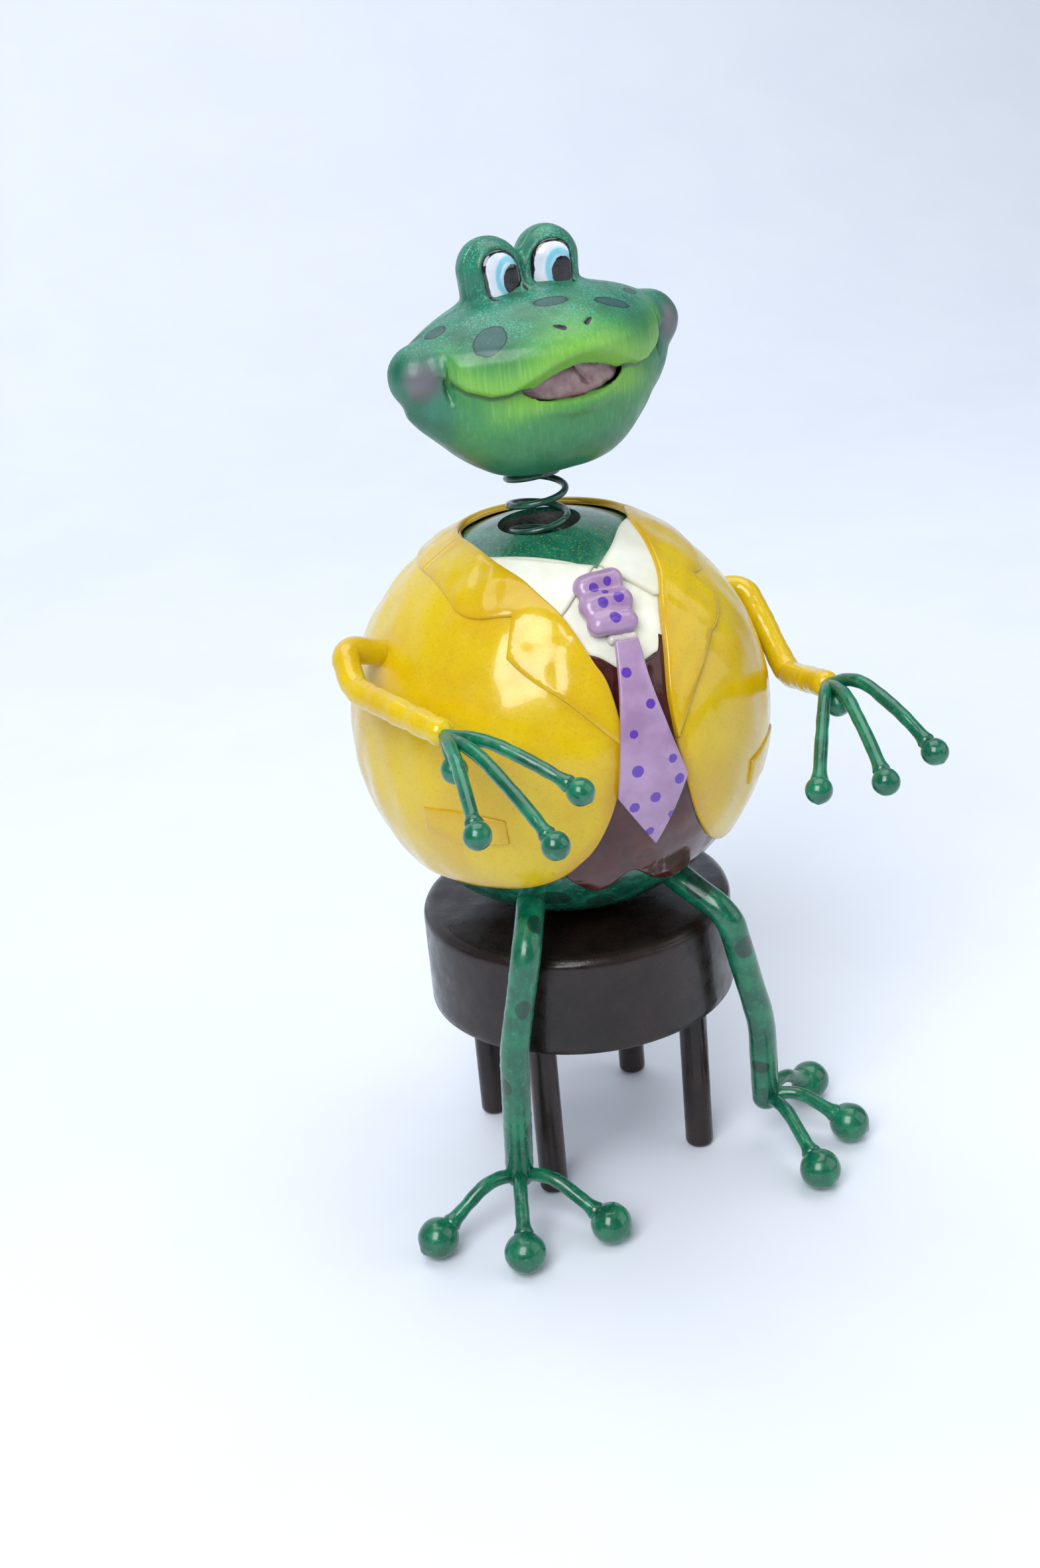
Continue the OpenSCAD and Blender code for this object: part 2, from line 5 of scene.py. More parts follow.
import bpy
import numpy as np
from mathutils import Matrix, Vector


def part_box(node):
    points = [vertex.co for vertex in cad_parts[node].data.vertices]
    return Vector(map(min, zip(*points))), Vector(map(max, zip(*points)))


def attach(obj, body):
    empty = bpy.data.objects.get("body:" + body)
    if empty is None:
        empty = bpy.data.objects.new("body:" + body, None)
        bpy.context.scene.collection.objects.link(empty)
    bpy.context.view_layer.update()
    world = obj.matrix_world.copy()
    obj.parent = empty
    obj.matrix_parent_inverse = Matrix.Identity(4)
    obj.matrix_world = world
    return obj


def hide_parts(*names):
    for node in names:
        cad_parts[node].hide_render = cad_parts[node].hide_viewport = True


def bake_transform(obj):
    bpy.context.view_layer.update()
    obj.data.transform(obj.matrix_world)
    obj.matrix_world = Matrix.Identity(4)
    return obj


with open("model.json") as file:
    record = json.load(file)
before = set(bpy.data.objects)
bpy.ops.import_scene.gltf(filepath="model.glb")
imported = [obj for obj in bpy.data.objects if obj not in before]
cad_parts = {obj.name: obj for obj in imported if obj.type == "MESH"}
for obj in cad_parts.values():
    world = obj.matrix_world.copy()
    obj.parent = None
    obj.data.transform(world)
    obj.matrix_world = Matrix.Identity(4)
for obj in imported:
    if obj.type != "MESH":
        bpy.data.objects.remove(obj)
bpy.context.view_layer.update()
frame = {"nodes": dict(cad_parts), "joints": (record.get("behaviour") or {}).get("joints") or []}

import openvdb
from mathutils import Matrix, Vector
from mathutils.geometry import delaunay_2d_cdt

MM = 0.001


# ---------------------------------------------------------------- places from the frame
def corners(node):
    low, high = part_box(node)
    return np.array(low) / MM, np.array(high) / MM


ball_low, ball_high = corners("body_bottom_shell")
BALL_R = (ball_high[0] - ball_low[0]) / 2
AXIS = np.array([0.0, (ball_low[1] + ball_high[1]) / 2, 0.0])      # the ball's upright axis
BALL_Z = corners("body_top_shell")[0][2]
BALL = AXIS + [0, 0, BALL_Z]
COAT_R = corners("jacket_left_panel")[1][0]
LAPEL_T = 0.7
LAYER_T = 0.4
SEAT_LOW, SEAT_HIGH = corners("stool_seat")
SEAT_Z = SEAT_HIGH[2]
SEAT_R = (SEAT_HIGH[0] - SEAT_LOW[0]) / 2
joint = {j["name"]: j for j in frame["joints"]}
SPRING_XY = np.array(joint["turn"]["pos_m"][:2]) / MM


# ---------------------------------------------------------------- small vector tools
def unit(v):
    v = np.asarray(v, float)
    return v / np.linalg.norm(v, axis=-1, keepdims=True)


def facing(az, lat):
    """The direction from the ball's centre: az from the front to the frog's left, lat upwards."""
    az, lat = np.radians(az), np.radians(lat)
    return np.stack([np.sin(az) * np.cos(lat), -np.cos(az) * np.cos(lat), np.sin(lat)], -1)


def smoothstep(low, high, x):
    t = np.clip((x - low) / (high - low), 0, 1)
    return t * t * (3 - 2 * t)


def wave(p, scale, seed):
    """A smooth made-up unevenness between about -1 and 1, at points p in mm."""
    rng = np.random.default_rng(seed)
    total = 0
    for _ in range(5):
        k = unit(rng.normal(size=3)) * rng.uniform(0.7, 1.5) * 2 * np.pi / scale
        total = total + np.sin(p @ k + rng.uniform(0, 2 * np.pi))
    return total / 2.5


def catmull(points, spacing, closed=False, sharp=()):
    """Points along a smooth curve through the given ones; the curve turns sharply at sharp."""
    p = np.asarray(points, float)
    n = len(p)
    out = []
    for i in range(n if closed else n - 1):
        a, b = p[i], p[(i + 1) % n]
        before = a if (i in sharp or (not closed and i == 0)) else p[i - 1]
        j = (i + 1) % n
        after = b if (j in sharp or (not closed and i == n - 2)) else p[(i + 2) % n]
        start = (b - before) / (1 if before is a else 2)
        end = (after - a) / (1 if after is b else 2)
        steps = max(1, int(round(np.linalg.norm(b - a) / spacing)))
        t = np.arange(steps)[:, None] / steps
        out.append((2 * t**3 - 3 * t**2 + 1) * a + (t**3 - 2 * t**2 + t) * start
                   + (3 * t**2 - 2 * t**3) * b + (t**3 - t**2) * end)
    if not closed:
        out.append(p[-1:])
    return np.concatenate(out)


# ---------------------------------------------------------------- meshes
def add_piece(name, verts, faces, body, material, replaces=(), fields=None, smooth=True):
    """A new object from points in mm, riding on a body."""
    mesh = bpy.data.meshes.new(name)
    mesh.from_pydata((np.asarray(verts) * MM).tolist(), [], [tuple(f) for f in faces])
    mesh.validate()
    mesh.polygons.foreach_set("use_smooth", [smooth] * len(mesh.polygons))
    for key, values in (fields or {}).items():
        values = np.asarray(values, np.float32)
        kind = "FLOAT" if values.ndim == 1 else "FLOAT_VECTOR"
        attribute = mesh.attributes.new(key, kind, "POINT")
        attribute.data.foreach_set("value" if kind == "FLOAT" else "vector", values.ravel())
    mesh.materials.append(material)
    piece = bpy.data.objects.new(name, mesh)
    bpy.context.scene.collection.objects.link(piece)
    if body:
        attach(piece, body)
    if replaces:
        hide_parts(*replaces)
    return piece


def tube_mesh(path, radius, sides=20, round_ends=(True, True)):
    """Points and faces of a round rod along a path; radius is one number or one for each point."""
    path = np.asarray(path, float)
    n = len(path)
    radius = np.broadcast_to(np.asarray(radius, float), (n,)).copy()
    for at_end in (0, 1):
        if round_ends[at_end]:
            tip, inner = (path[0], path[1]) if at_end == 0 else (path[-1], path[-2])
            out = unit(tip - inner)
            r = radius[0] if at_end == 0 else radius[-1]
            angles = np.radians([25, 50, 70, 84])
            caps = tip + np.outer(np.sin(angles) * r * 0.8, out)
            radii = np.cos(angles) * r
            if at_end == 0:
                path, radius = np.vstack([caps[::-1], path]), np.concatenate([radii[::-1], radius])
            else:
                path, radius = np.vstack([path, caps]), np.concatenate([radius, radii])
    n = len(path)
    tangent = unit(np.gradient(path, axis=0))
    side = np.array([0.31, 0.52, 0.8])
    frames = []
    for t in tangent:
        side = unit(side - (side @ t) * t)
        frames.append(side)
    a = np.array(frames)
    b = np.cross(tangent, a)
    turn = np.arange(sides) / sides * 2 * np.pi
    verts = (path[:, None] + radius[:, None, None]
             * (np.cos(turn)[None, :, None] * a[:, None] + np.sin(turn)[None, :, None] * b[:, None]))
    i, k = np.meshgrid(np.arange(n - 1), np.arange(sides), indexing="ij")
    m = (k + 1) % sides
    quads = np.stack([i * sides + k, i * sides + m, (i + 1) * sides + m, (i + 1) * sides + k], -1)
    faces = [tuple(q) for q in quads.reshape(-1, 4)]
    faces.append(tuple(range(sides - 1, -1, -1)))
    faces.append(tuple((n - 1) * sides + k for k in range(sides)))
    return verts.reshape(-1, 3), faces


def lathe(profile, sides=128):
    """Points and faces of a closed outline of [radius, height] turned about the upright axis."""
    profile = np.asarray(profile, float)
    n = len(profile)
    turn = np.arange(sides) / sides * 2 * np.pi
    verts = np.stack([np.outer(np.cos(turn), profile[:, 0]), np.outer(np.sin(turn), profile[:, 0]),
                      np.tile(profile[:, 1], (sides, 1))], -1)
    i, k = np.meshgrid(np.arange(sides), np.arange(n), indexing="ij")
    j, m = (i + 1) % sides, (k + 1) % n
    quads = np.stack([i * n + k, j * n + k, j * n + m, i * n + m], -1).reshape(-1, 4)
    return verts.reshape(-1, 3), [tuple(q) for q in quads]


def arc(centre, r, start, end, steps=8):
    """Points of an arc in a flat outline, in degrees."""
    t = np.radians(np.linspace(start, end, steps + 1))
    return [(centre[0] + r * math.cos(a), centre[1] + r * math.sin(a)) for a in t]


def grow_skin(field, low, high, step):
    """The surface where a field is zero, negative inside, as points in mm and faces."""
    axes = [np.arange(low[k], high[k] + step, step) for k in range(3)]
    grid_points = np.stack(np.meshgrid(*axes, indexing="ij"), -1)
    values = field(grid_points).astype(np.float32)
    grid = openvdb.FloatGrid(background=float(step * 3))
    grid.copyFromArray(np.clip(values, -3 * step, 3 * step))
    points, quads = grid.convertToQuads(isovalue=0.0)
    return np.asarray(points, float) * step + np.asarray(low, float), np.asarray(quads)[:, ::-1]


def relax(verts, faces, rounds=2, strength=0.5):
    """Evens out the stair steps that a voxel surface has."""
    edges = np.concatenate([faces[:, [k, (k + 1) % faces.shape[1]]] for k in range(faces.shape[1])])
    edges = np.unique(np.sort(edges, 1), axis=0)
    count = np.bincount(edges.ravel(), minlength=len(verts))[:, None]
    for k in range(rounds * 2):
        total = np.zeros_like(verts)
        np.add.at(total, edges[:, 0], verts[edges[:, 1]])
        np.add.at(total, edges[:, 1], verts[edges[:, 0]])
        pull = strength if k % 2 == 0 else -strength * 1.03
        verts = verts + pull * (total / np.maximum(count, 1) - verts)
    return verts


# ---------------------------------------------------------------- node materials
class Paint:
    """A small helper that builds one node material."""

    def __init__(self, name, roughness=0.3, coat=0.0, metallic=0.0, ior=1.5):
        self.material = bpy.data.materials.new(name)
        self.material.use_nodes = True
        self.nodes = self.material.node_tree.nodes
        self.links = self.material.node_tree.links
        self.shader = self.nodes["Principled BSDF"]
        self.set("Roughness", roughness)
        self.set("Metallic", metallic)
        self.set("IOR", ior)
        self.set("Coat Weight", coat)
        self.set("Coat Roughness", 0.06)
        self.where = self.nodes.new("ShaderNodeTexCoord").outputs["Object"]

    def feed(self, socket, value):
        """Links an output to a socket, or sets a number or an opaque colour there."""
        if hasattr(value, "is_linked"):
            self.links.new(value, socket)
        else:
            socket.default_value = (*value, 1.0) if isinstance(value, tuple) else value

    def set(self, name, value):
        self.feed(self.shader.inputs[name], value)

    def field(self, name):
        node = self.nodes.new("ShaderNodeAttribute")
        node.attribute_name = name
        return node.outputs["Fac"]

    def math(self, kind, a, b=0.0, c=0.0):
        node = self.nodes.new("ShaderNodeMath")
        node.operation = kind
        for socket, value in zip(node.inputs, (a, b, c)):
            self.feed(socket, value)
        return node.outputs[0]

    def ramp(self, value, low, high, to_low=0.0, to_high=1.0):
        """A value mapped smoothly from low..high to to_low..to_high."""
        node = self.nodes.new("ShaderNodeMapRange")
        node.interpolation_type = "SMOOTHSTEP"
        self.links.new(value, node.inputs["Value"])
        for key, number in (("From Min", low), ("From Max", high),
                            ("To Min", to_low), ("To Max", to_high)):
            node.inputs[key].default_value = number
        return node.outputs["Result"]

    def stretched(self, scale):
        node = self.nodes.new("ShaderNodeMapping")
        self.links.new(self.where, node.inputs["Vector"])
        node.inputs["Scale"].default_value = scale
        return node.outputs["Vector"]

    def noise(self, size_mm, detail=4.0, roughness=0.55, stretch=None):
        """Noise whose lumps are about size_mm across."""
        node = self.nodes.new("ShaderNodeTexNoise")
        self.links.new(self.stretched(stretch) if stretch else self.where, node.inputs["Vector"])
        node.inputs["Scale"].default_value = 1 / (size_mm * MM)
        node.inputs["Detail"].default_value = detail
        node.inputs["Roughness"].default_value = roughness
        return node.outputs["Fac"]

    def near(self, spots):
        """Distance in metres to the nearest of some round spots, each (centre, radius) in mm."""
        best = None
        for centre, radius in spots:
            node = self.nodes.new("ShaderNodeVectorMath")
            node.operation = "DISTANCE"
            self.links.new(self.where, node.inputs[0])
            node.inputs[1].default_value = tuple(np.asarray(centre, float) * MM)
            gap = self.math("SUBTRACT", node.outputs["Value"], radius * MM)
            best = gap if best is None else self.math("MINIMUM", best, gap)
        return best

    def mix(self, amount, a, b):
        node = self.nodes.new("ShaderNodeMix")
        node.data_type = "RGBA"
        sockets = [s for s in node.inputs if s.enabled]
        for socket, value in zip(sockets, (amount, a, b)):
            self.feed(socket, value)
        return next(s for s in node.outputs if s.enabled)

    def mottle(self, size_mm, detail, dark, light, roughness=0.55, low=0.3, high=0.7):
        """Two colours in soft patches about size_mm across."""
        return self.mix(self.ramp(self.noise(size_mm, detail, roughness), low, high), dark, light)

    def fleck(self, color, fleck, size_mm, detail, roughness, low, high, amount):
        """Flecks of another colour where a noise is above low to high."""
        return self.mix(self.ramp(self.noise(size_mm, detail, roughness), low, high, 0, amount),
                        color, fleck)

    def patchy_gloss(self, size_mm, glossy, dull, detail=4.0, roughness=0.55):
        self.set("Roughness", self.ramp(self.noise(size_mm, detail, roughness), 0.3, 0.7, glossy,
                                        dull))

    def bump(self, height, depth_mm, strength=1.0, after=None):
        node = self.nodes.new("ShaderNodeBump")
        node.inputs["Strength"].default_value = strength
        node.inputs["Distance"].default_value = depth_mm * MM
        self.links.new(height, node.inputs["Height"])
        if after is not None:
            self.links.new(after, node.inputs["Normal"])
        return node.outputs["Normal"]

    def finish(self, color, normal=None):
        self.set("Base Color", color)
        if normal is not None:
            self.set("Normal", normal)
        return self.material


def enamel_bump(paint, ripple=0.10, grain=0.012):
    """The slow waves of hand-poured enamel and a fine orange peel over them."""
    slow = paint.bump(paint.noise(6.0, 2.0), ripple)
    return paint.bump(paint.noise(0.5, 2.0), grain, after=slow)


def make_green(name, base, light, dark, spots, overspray_and_light_from=0):
    """Glossy mottled green enamel with dark oval spots; above the given height in mm lies yellow
    dust, and painted light makes the green lighter towards the top.
    """
    paint = Paint(name, roughness=0.25, coat=0.4)
    color = paint.mottle(5.0, 5.0, dark, base, 0.6, 0.35, 0.68)
    color = paint.fleck(color, light, 1.3, 6.0, 0.7, 0.54, 0.66, 0.55)
    edge = paint.math("ADD", paint.near(spots),
                      paint.math("MULTIPLY", paint.noise(2.0, 2.0), 0.6 * MM))
    color = paint.mix(paint.ramp(edge, 0.42 * MM, 0.3 * MM, 0, 0.85), color, (0.004, 0.035, 0.022))
    # above the given height: real yellow overspray dust, and painted light on the ball's top
    if overspray_and_light_from:
        split = paint.nodes.new("ShaderNodeSeparateXYZ")
        paint.links.new(paint.where, split.inputs["Vector"])
        height = paint.ramp(split.outputs["Z"], overspray_and_light_from * MM, (overspray_and_light_from + 8) * MM, 0, 0.8)
        dust = paint.ramp(paint.noise(0.4, 3.0, 0.8), 0.57, 0.63)
        color = paint.mix(paint.math("MULTIPLY", height, dust), color, (0.32, 0.36, 0.02))
        # painted light: the green is painted lighter towards the top of the ball, where the light
        # falls
        color = paint.mix(paint.math("MULTIPLY", height, 0.3), color, (0.02, 0.25, 0.16))
    paint.patchy_gloss(2.5, 0.16, 0.36)
    return paint.finish(color, enamel_bump(paint))


def make_yellow(name, spray):
    """Glossy yellow enamel with a fine speckle; spray is how much ochre goes on near edges."""
    paint = Paint(name, roughness=0.2, coat=0.4, ior=1.42)
    lemon, golden, ochre = (0.66, 0.48, 0.003), (0.6, 0.39, 0.003), (0.5, 0.24, 0.004)
    color = paint.mottle(16.0, 3.0, lemon, golden, low=0.35, high=0.65)
    if spray:
        near = paint.math("ADD", paint.field("edge"),
                          paint.math("MULTIPLY", paint.noise(5.0, 4.0), 3.0))
        color = paint.mix(paint.ramp(near, 4.6, 1.5, 0, spray), color, ochre)
    color = paint.fleck(color, (0.5, 0.29, 0.003), 0.5, 3.0, 0.75, 0.54, 0.66, 0.6)
    color = paint.fleck(color, (0.74, 0.56, 0.02), 0.7, 3.0, 0.7, 0.6, 0.7, 0.4)
    paint.patchy_gloss(3.0, 0.14, 0.3)
    return paint.finish(color, enamel_bump(paint, 0.14))


def make_cream():
    paint = Paint("shirt_enamel", roughness=0.32, coat=0.35)
    color = paint.mottle(7.0, 4.0, (0.72, 0.72, 0.6), (0.83, 0.84, 0.76))
    # the shirt is painted darker within 0.9 mm of its edges
    edge_darkening = paint.ramp(paint.field("edge"), 0.9, 0.0, 0, 0.5)
    color = paint.mix(edge_darkening, color, (0.45, 0.42, 0.28))
    return paint.finish(color, enamel_bump(paint, 0.12))


def make_wine():
    paint = Paint("waistcoat_enamel", roughness=0.1, coat=0.4, ior=1.4)
    color = paint.mottle(6.0, 4.0, (0.038, 0.006, 0.006), (0.085, 0.018, 0.016))
    return paint.finish(color, enamel_bump(paint, 0.3))


def make_lilac():
    """Satin lilac with crisp violet dots, whose distances the mesh holds in its dot field."""
    paint = Paint("tie_enamel", roughness=0.3, coat=0.45)
    color = paint.mottle(5.0, 4.0, (0.31, 0.185, 0.335), (0.4, 0.26, 0.43))
    dot = paint.math("ADD", paint.field("dot"),
                     paint.math("MULTIPLY", paint.noise(1.2, 2.0), 0.12))
    color = paint.mix(paint.ramp(dot, 0.1, 0.02), color, (0.1, 0.035, 0.36))
    return paint.finish(color, enamel_bump(paint, 0.1))


def make_steel():
    paint = Paint("bare_steel", roughness=0.3, metallic=1.0)
    streaks = paint.noise(0.6, 4.0, stretch=(1, 1, 6))
    color = paint.mix(paint.ramp(streaks, 0.3, 0.7), (0.42, 0.42, 0.4), (0.6, 0.6, 0.58))
    paint.set("Roughness", paint.ramp(streaks, 0.3, 0.7, 0.25, 0.45))
    return paint.finish(color, paint.bump(streaks, 0.01))


def make_spring_green():
    paint = Paint("spring_lacquer", roughness=0.28, coat=0.4)
    color = paint.mottle(2.0, 4.0, (0.008, 0.05, 0.03), (0.015, 0.1, 0.06), low=0.35)
    color = paint.fleck(color, (0.3, 0.32, 0.28), 0.9, 5.0, 0.7, 0.66, 0.72, 0.7)
    return paint.finish(color, paint.bump(paint.noise(0.5, 3.0), 0.02))


def make_stool_brown():
    """Dark brown enamel that is a little browner and duller where it is worn."""
    paint = Paint("stool_enamel", roughness=0.28, coat=0.15, ior=1.4)
    color = paint.mottle(9.0, 5.0, (0.009, 0.005, 0.004), (0.022, 0.012, 0.01), 0.6)
    color = paint.fleck(color, (0.16, 0.13, 0.11), 0.5, 3.0, 0.8, 0.68, 0.76, 0.25)
    paint.patchy_gloss(4.0, 0.2, 0.42, 5.0, 0.6)
    return paint.finish(color, enamel_bump(paint, 0.16, 0.03))


def make_head_paint():
    """Airbrushed resin: emerald above, lime around the mouth, violet cheeks, dark spots, and painted
    shade in the crease under the upper lip.
    """
    paint = Paint("head_lacquer", roughness=0.4, coat=0.1)
    deep, emerald, turquoise = (0.01, 0.1, 0.058), (0.022, 0.17, 0.1), (0.04, 0.46, 0.32)
    leaf, lime = (0.055, 0.26, 0.06), (0.19, 0.46, 0.05)
    color = paint.mottle(7.0, 5.0, deep, emerald, 0.6)
    speckle = paint.ramp(paint.noise(0.38, 3.0, 0.9), 0.52, 0.6, 0, 0.9)
    patches = paint.ramp(paint.noise(5.0, 3.0), 0.36, 0.6, 0.15, 1.0)
    speckle = paint.math("MULTIPLY", paint.math("MULTIPLY", speckle, patches),
                         paint.field("speckle"))
    strokes = paint.noise(0.5, 4.0, 0.7, stretch=(1.0, 1.0, 0.06))
    spread = paint.math("MULTIPLY", paint.field("lime"), paint.ramp(strokes, 0.3, 0.7, 0.86, 1.08))
    color = paint.mix(paint.ramp(spread, 0.0, 0.55, 0, 0.95), color, leaf)
    color = paint.mix(paint.ramp(spread, 0.3, 1.1, 0, 1.0), color, lime)
    pale = paint.math("MULTIPLY", paint.ramp(strokes, 0.5, 0.75, 0, 0.35), paint.field("lime"))
    color = paint.mix(pale, color, (0.3, 0.55, 0.2))
    # painted shade: the crease under the overhanging upper lip is darkened
    color = paint.mix(paint.ramp(paint.field("crease"), 0.2, 0.9, 0, 0.8), color,
                      (0.006, 0.06, 0.025))
    color = paint.mix(speckle, color, turquoise)
    color = paint.mix(paint.ramp(paint.field("blush"), 0.05, 0.9, 0, 0.75), color,
                      (0.17, 0.13, 0.17))
    spot = paint.math("ADD", paint.field("spot"),
                      paint.math("MULTIPLY", paint.noise(1.5, 2.0), 0.5))
    color = paint.mix(paint.ramp(spot, 0.36, 0.24), color, (0.004, 0.03, 0.03))
    inner = paint.fleck((0.018, 0.085, 0.075), (0.05, 0.2, 0.18), 0.4, 3.0, 0.8, 0.55, 0.64, 0.4)
    color = paint.mix(paint.ramp(spot, 0.1, 0.0), color, inner)
    color = paint.mix(paint.ramp(paint.field("black"), 0.06, -0.04), color, (0.005, 0.006, 0.007))
    color = paint.mix(paint.field("inside"), color, (0.1, 0.045, 0.045))
    paint.patchy_gloss(2.0, 0.32, 0.5)
    return paint.finish(color, paint.bump(paint.noise(0.6, 3.0, stretch=(1, 1, 0.3)), 0.03))


def make_mouth_paint():
    paint = Paint("mouth_paint", roughness=0.4, coat=0.2)
    color = paint.mottle(2.5, 5.0, (0.28, 0.14, 0.16), (0.42, 0.3, 0.3), 0.65)
    color = paint.mix(paint.ramp(paint.field("crease"), 0.45, 0.1, 0, 0.8), color,
                      (0.12, 0.04, 0.05))
    return paint.finish(color, paint.bump(paint.noise(1.0, 4.0), 0.05))


def make_eye_paint():
    """White, pale blue and glossy black, painted from the mesh's own distance fields."""
    paint = Paint("eye_paint", roughness=0.12, coat=0.8)
    wobble = paint.math("MULTIPLY", paint.noise(0.9, 3.0), 0.35)
    color = paint.mottle(3.0, 4.0, (0.6, 0.64, 0.74), (0.72, 0.75, 0.82))
    iris = paint.math("ADD", paint.field("iris"), wobble)
    ring = paint.math("ABSOLUTE", paint.math("ADD", iris, 0.25))
    color = paint.mix(paint.ramp(iris, 0.35, 0.1, 0, 0.75), color, (0.6, 0.78, 0.86))
    color = paint.mix(paint.ramp(ring, 0.65, 0.2, 0, 0.95), color, (0.17, 0.52, 0.68))
    pupil = paint.math("ADD", paint.field("pupil"), wobble)
    color = paint.mix(paint.ramp(pupil, 0.7, 0.3, 0, 0.7), color, (0.2, 0.5, 0.64))
    color = paint.mix(paint.ramp(pupil, 0.24, 0.14), color, (0.004, 0.004, 0.006))
    rim = paint.math("ADD", paint.field("rim"), wobble)
    color = paint.mix(paint.ramp(rim, 0.6, 0.48), color, (0.006, 0.006, 0.008))
    return paint.finish(color, paint.bump(paint.noise(1.2, 3.0), 0.04))


def make_glue():
    paint = Paint("dried_glue", roughness=0.15, coat=0.6)
    color = paint.mottle(1.5, 3.0, (0.5, 0.46, 0.42), (0.68, 0.64, 0.62))
    return paint.finish(color, paint.bump(paint.noise(0.9, 3.0), 0.08))


def make_floor():
    paint = Paint("floor_paper", roughness=0.6)
    return paint.finish(paint.mottle(60.0, 3.0, (0.73, 0.78, 0.87), (0.75, 0.8, 0.885)))


def on_ball(az, lat):
    return BALL + facing(az, lat) * BALL_R


BALL_SPOTS = [(on_ball(az, lat), r) for az, lat, r in (
    (-30, -43, 3.2), (-12, -47, 2.6), (-45, -52, 2.6), (12, -50, 2.4), (38, -46, 3.0),
    (80, -50, 3.2), (130, -46, 3.4), (180, -50, 3.0), (-130, -48, 3.2), (-85, -45, 2.8),
    (40, 73, 1.6), (-100, 76, 1.8))]
LIMB_SPOTS = [(AXIS + np.array(place), r) for place, r in (
    ((-18.6, -28.5, 65.5), 2.4), ((-24.5, -32.5, 50), 2.3), ((-28.6, -27, 33), 2.1),
    ((-23.0, -26, 22), 1.9), ((14.5, -25, 62), 2.4), ((21, -31, 50), 2.3), ((29, -26, 30), 2.1),
    ((26, -25, 20), 1.9))]
BODY_GREEN = make_green("ball_enamel", (0.006, 0.13, 0.07), (0.02, 0.25, 0.14),
                        (0.002, 0.055, 0.033), BALL_SPOTS, overspray_and_light_from=120)
LIMB_GREEN = make_green("limb_enamel", (0.003, 0.17, 0.08), (0.012, 0.27, 0.14),
                        (0.001, 0.085, 0.045), LIMB_SPOTS)
COAT_YELLOW = make_yellow("jacket_enamel", 0.6)
TRIM_YELLOW = make_yellow("lapel_enamel", 0.3)
ARM_YELLOW = make_yellow("arm_enamel", 0)
CREAM = make_cream()
WINE = make_wine()
LILAC = make_lilac()
STEEL = make_steel()
SPRING_GREEN = make_spring_green()
STOOL_BROWN = make_stool_brown()
HEAD_PAINT = make_head_paint()
MOUTH_PAINT = make_mouth_paint()
EYE_PAINT = make_eye_paint()
GLUE = make_glue()
FLOOR = make_floor()


# ---------------------------------------------------------------- clothes on the ball
def east_north(n):
    """The level and the rising direction across a direction n."""
    east = unit(np.cross([0, 0, 1.0], n))
    return east, np.cross(n, east)


def flatten(d, middle):
    """Unit directions to a flat stereographic map about a middle [az, lat]."""
    n = facing(*middle)
    east, north = east_north(n)
    scale = 2 / (1 + d @ n)
    return np.stack([(d @ east) * scale, (d @ north) * scale], -1)


def unflatten(uv, middle):
    """The map's points back to unit directions."""
    n = facing(*middle)
    east, north = east_north(n)
    rr = (uv**2).sum(-1, keepdims=True)
    return (4 * (uv[..., :1] * east + uv[..., 1:] * north) + (4 - rr) * n) / (4 + rr)


def loop_area(uv):
    x, y = uv[:, 0], uv[:, 1]
    return 0.5 * np.sum(x * np.roll(y, -1) - y * np.roll(x, -1))


def inside(uv, loop):
    """Which flat points lie inside a closed loop."""
    result = np.zeros(len(uv), bool)
    for (x1, y1), (x2, y2) in zip(loop, np.roll(loop, -1, 0)):
        crosses = (y1 > uv[:, 1]) != (y2 > uv[:, 1])
        with np.errstate(divide="ignore", invalid="ignore"):
            at = (x2 - x1) * (uv[:, 1] - y1) / (y2 - y1) + x1
        result ^= crosses & (uv[:, 0] < at)
    return result


def loop_distance(d, loop_d, radius):
    """Distance in mm along the ball from directions d to a closed loop of directions."""
    a = loop_d * radius
    b = np.roll(loop_d, -1, 0) * radius
    best = np.full(len(d), 1e9)
    p = d * radius
    for s, e in zip(a, b):
        se = e - s
        t = np.clip(((p - s) @ se) / max(se @ se, 1e-12), 0, 1)
        best = np.minimum(best, ((p - s - t[:, None] * se) ** 2).sum(1))
    return np.sqrt(best)


def ball_points(spacing, radius):
    """Directions spread evenly over the whole ball."""
    n = int(4 * np.pi * radius**2 / (spacing**2 * 0.87))
    k = np.arange(n) + 0.5
    z = 1 - 2 * k / n
    turn = np.pi * (1 + 5**0.5) * k
    s = np.sqrt(1 - z * z)
    return np.stack([s * np.cos(turn), s * np.sin(turn), z], -1)


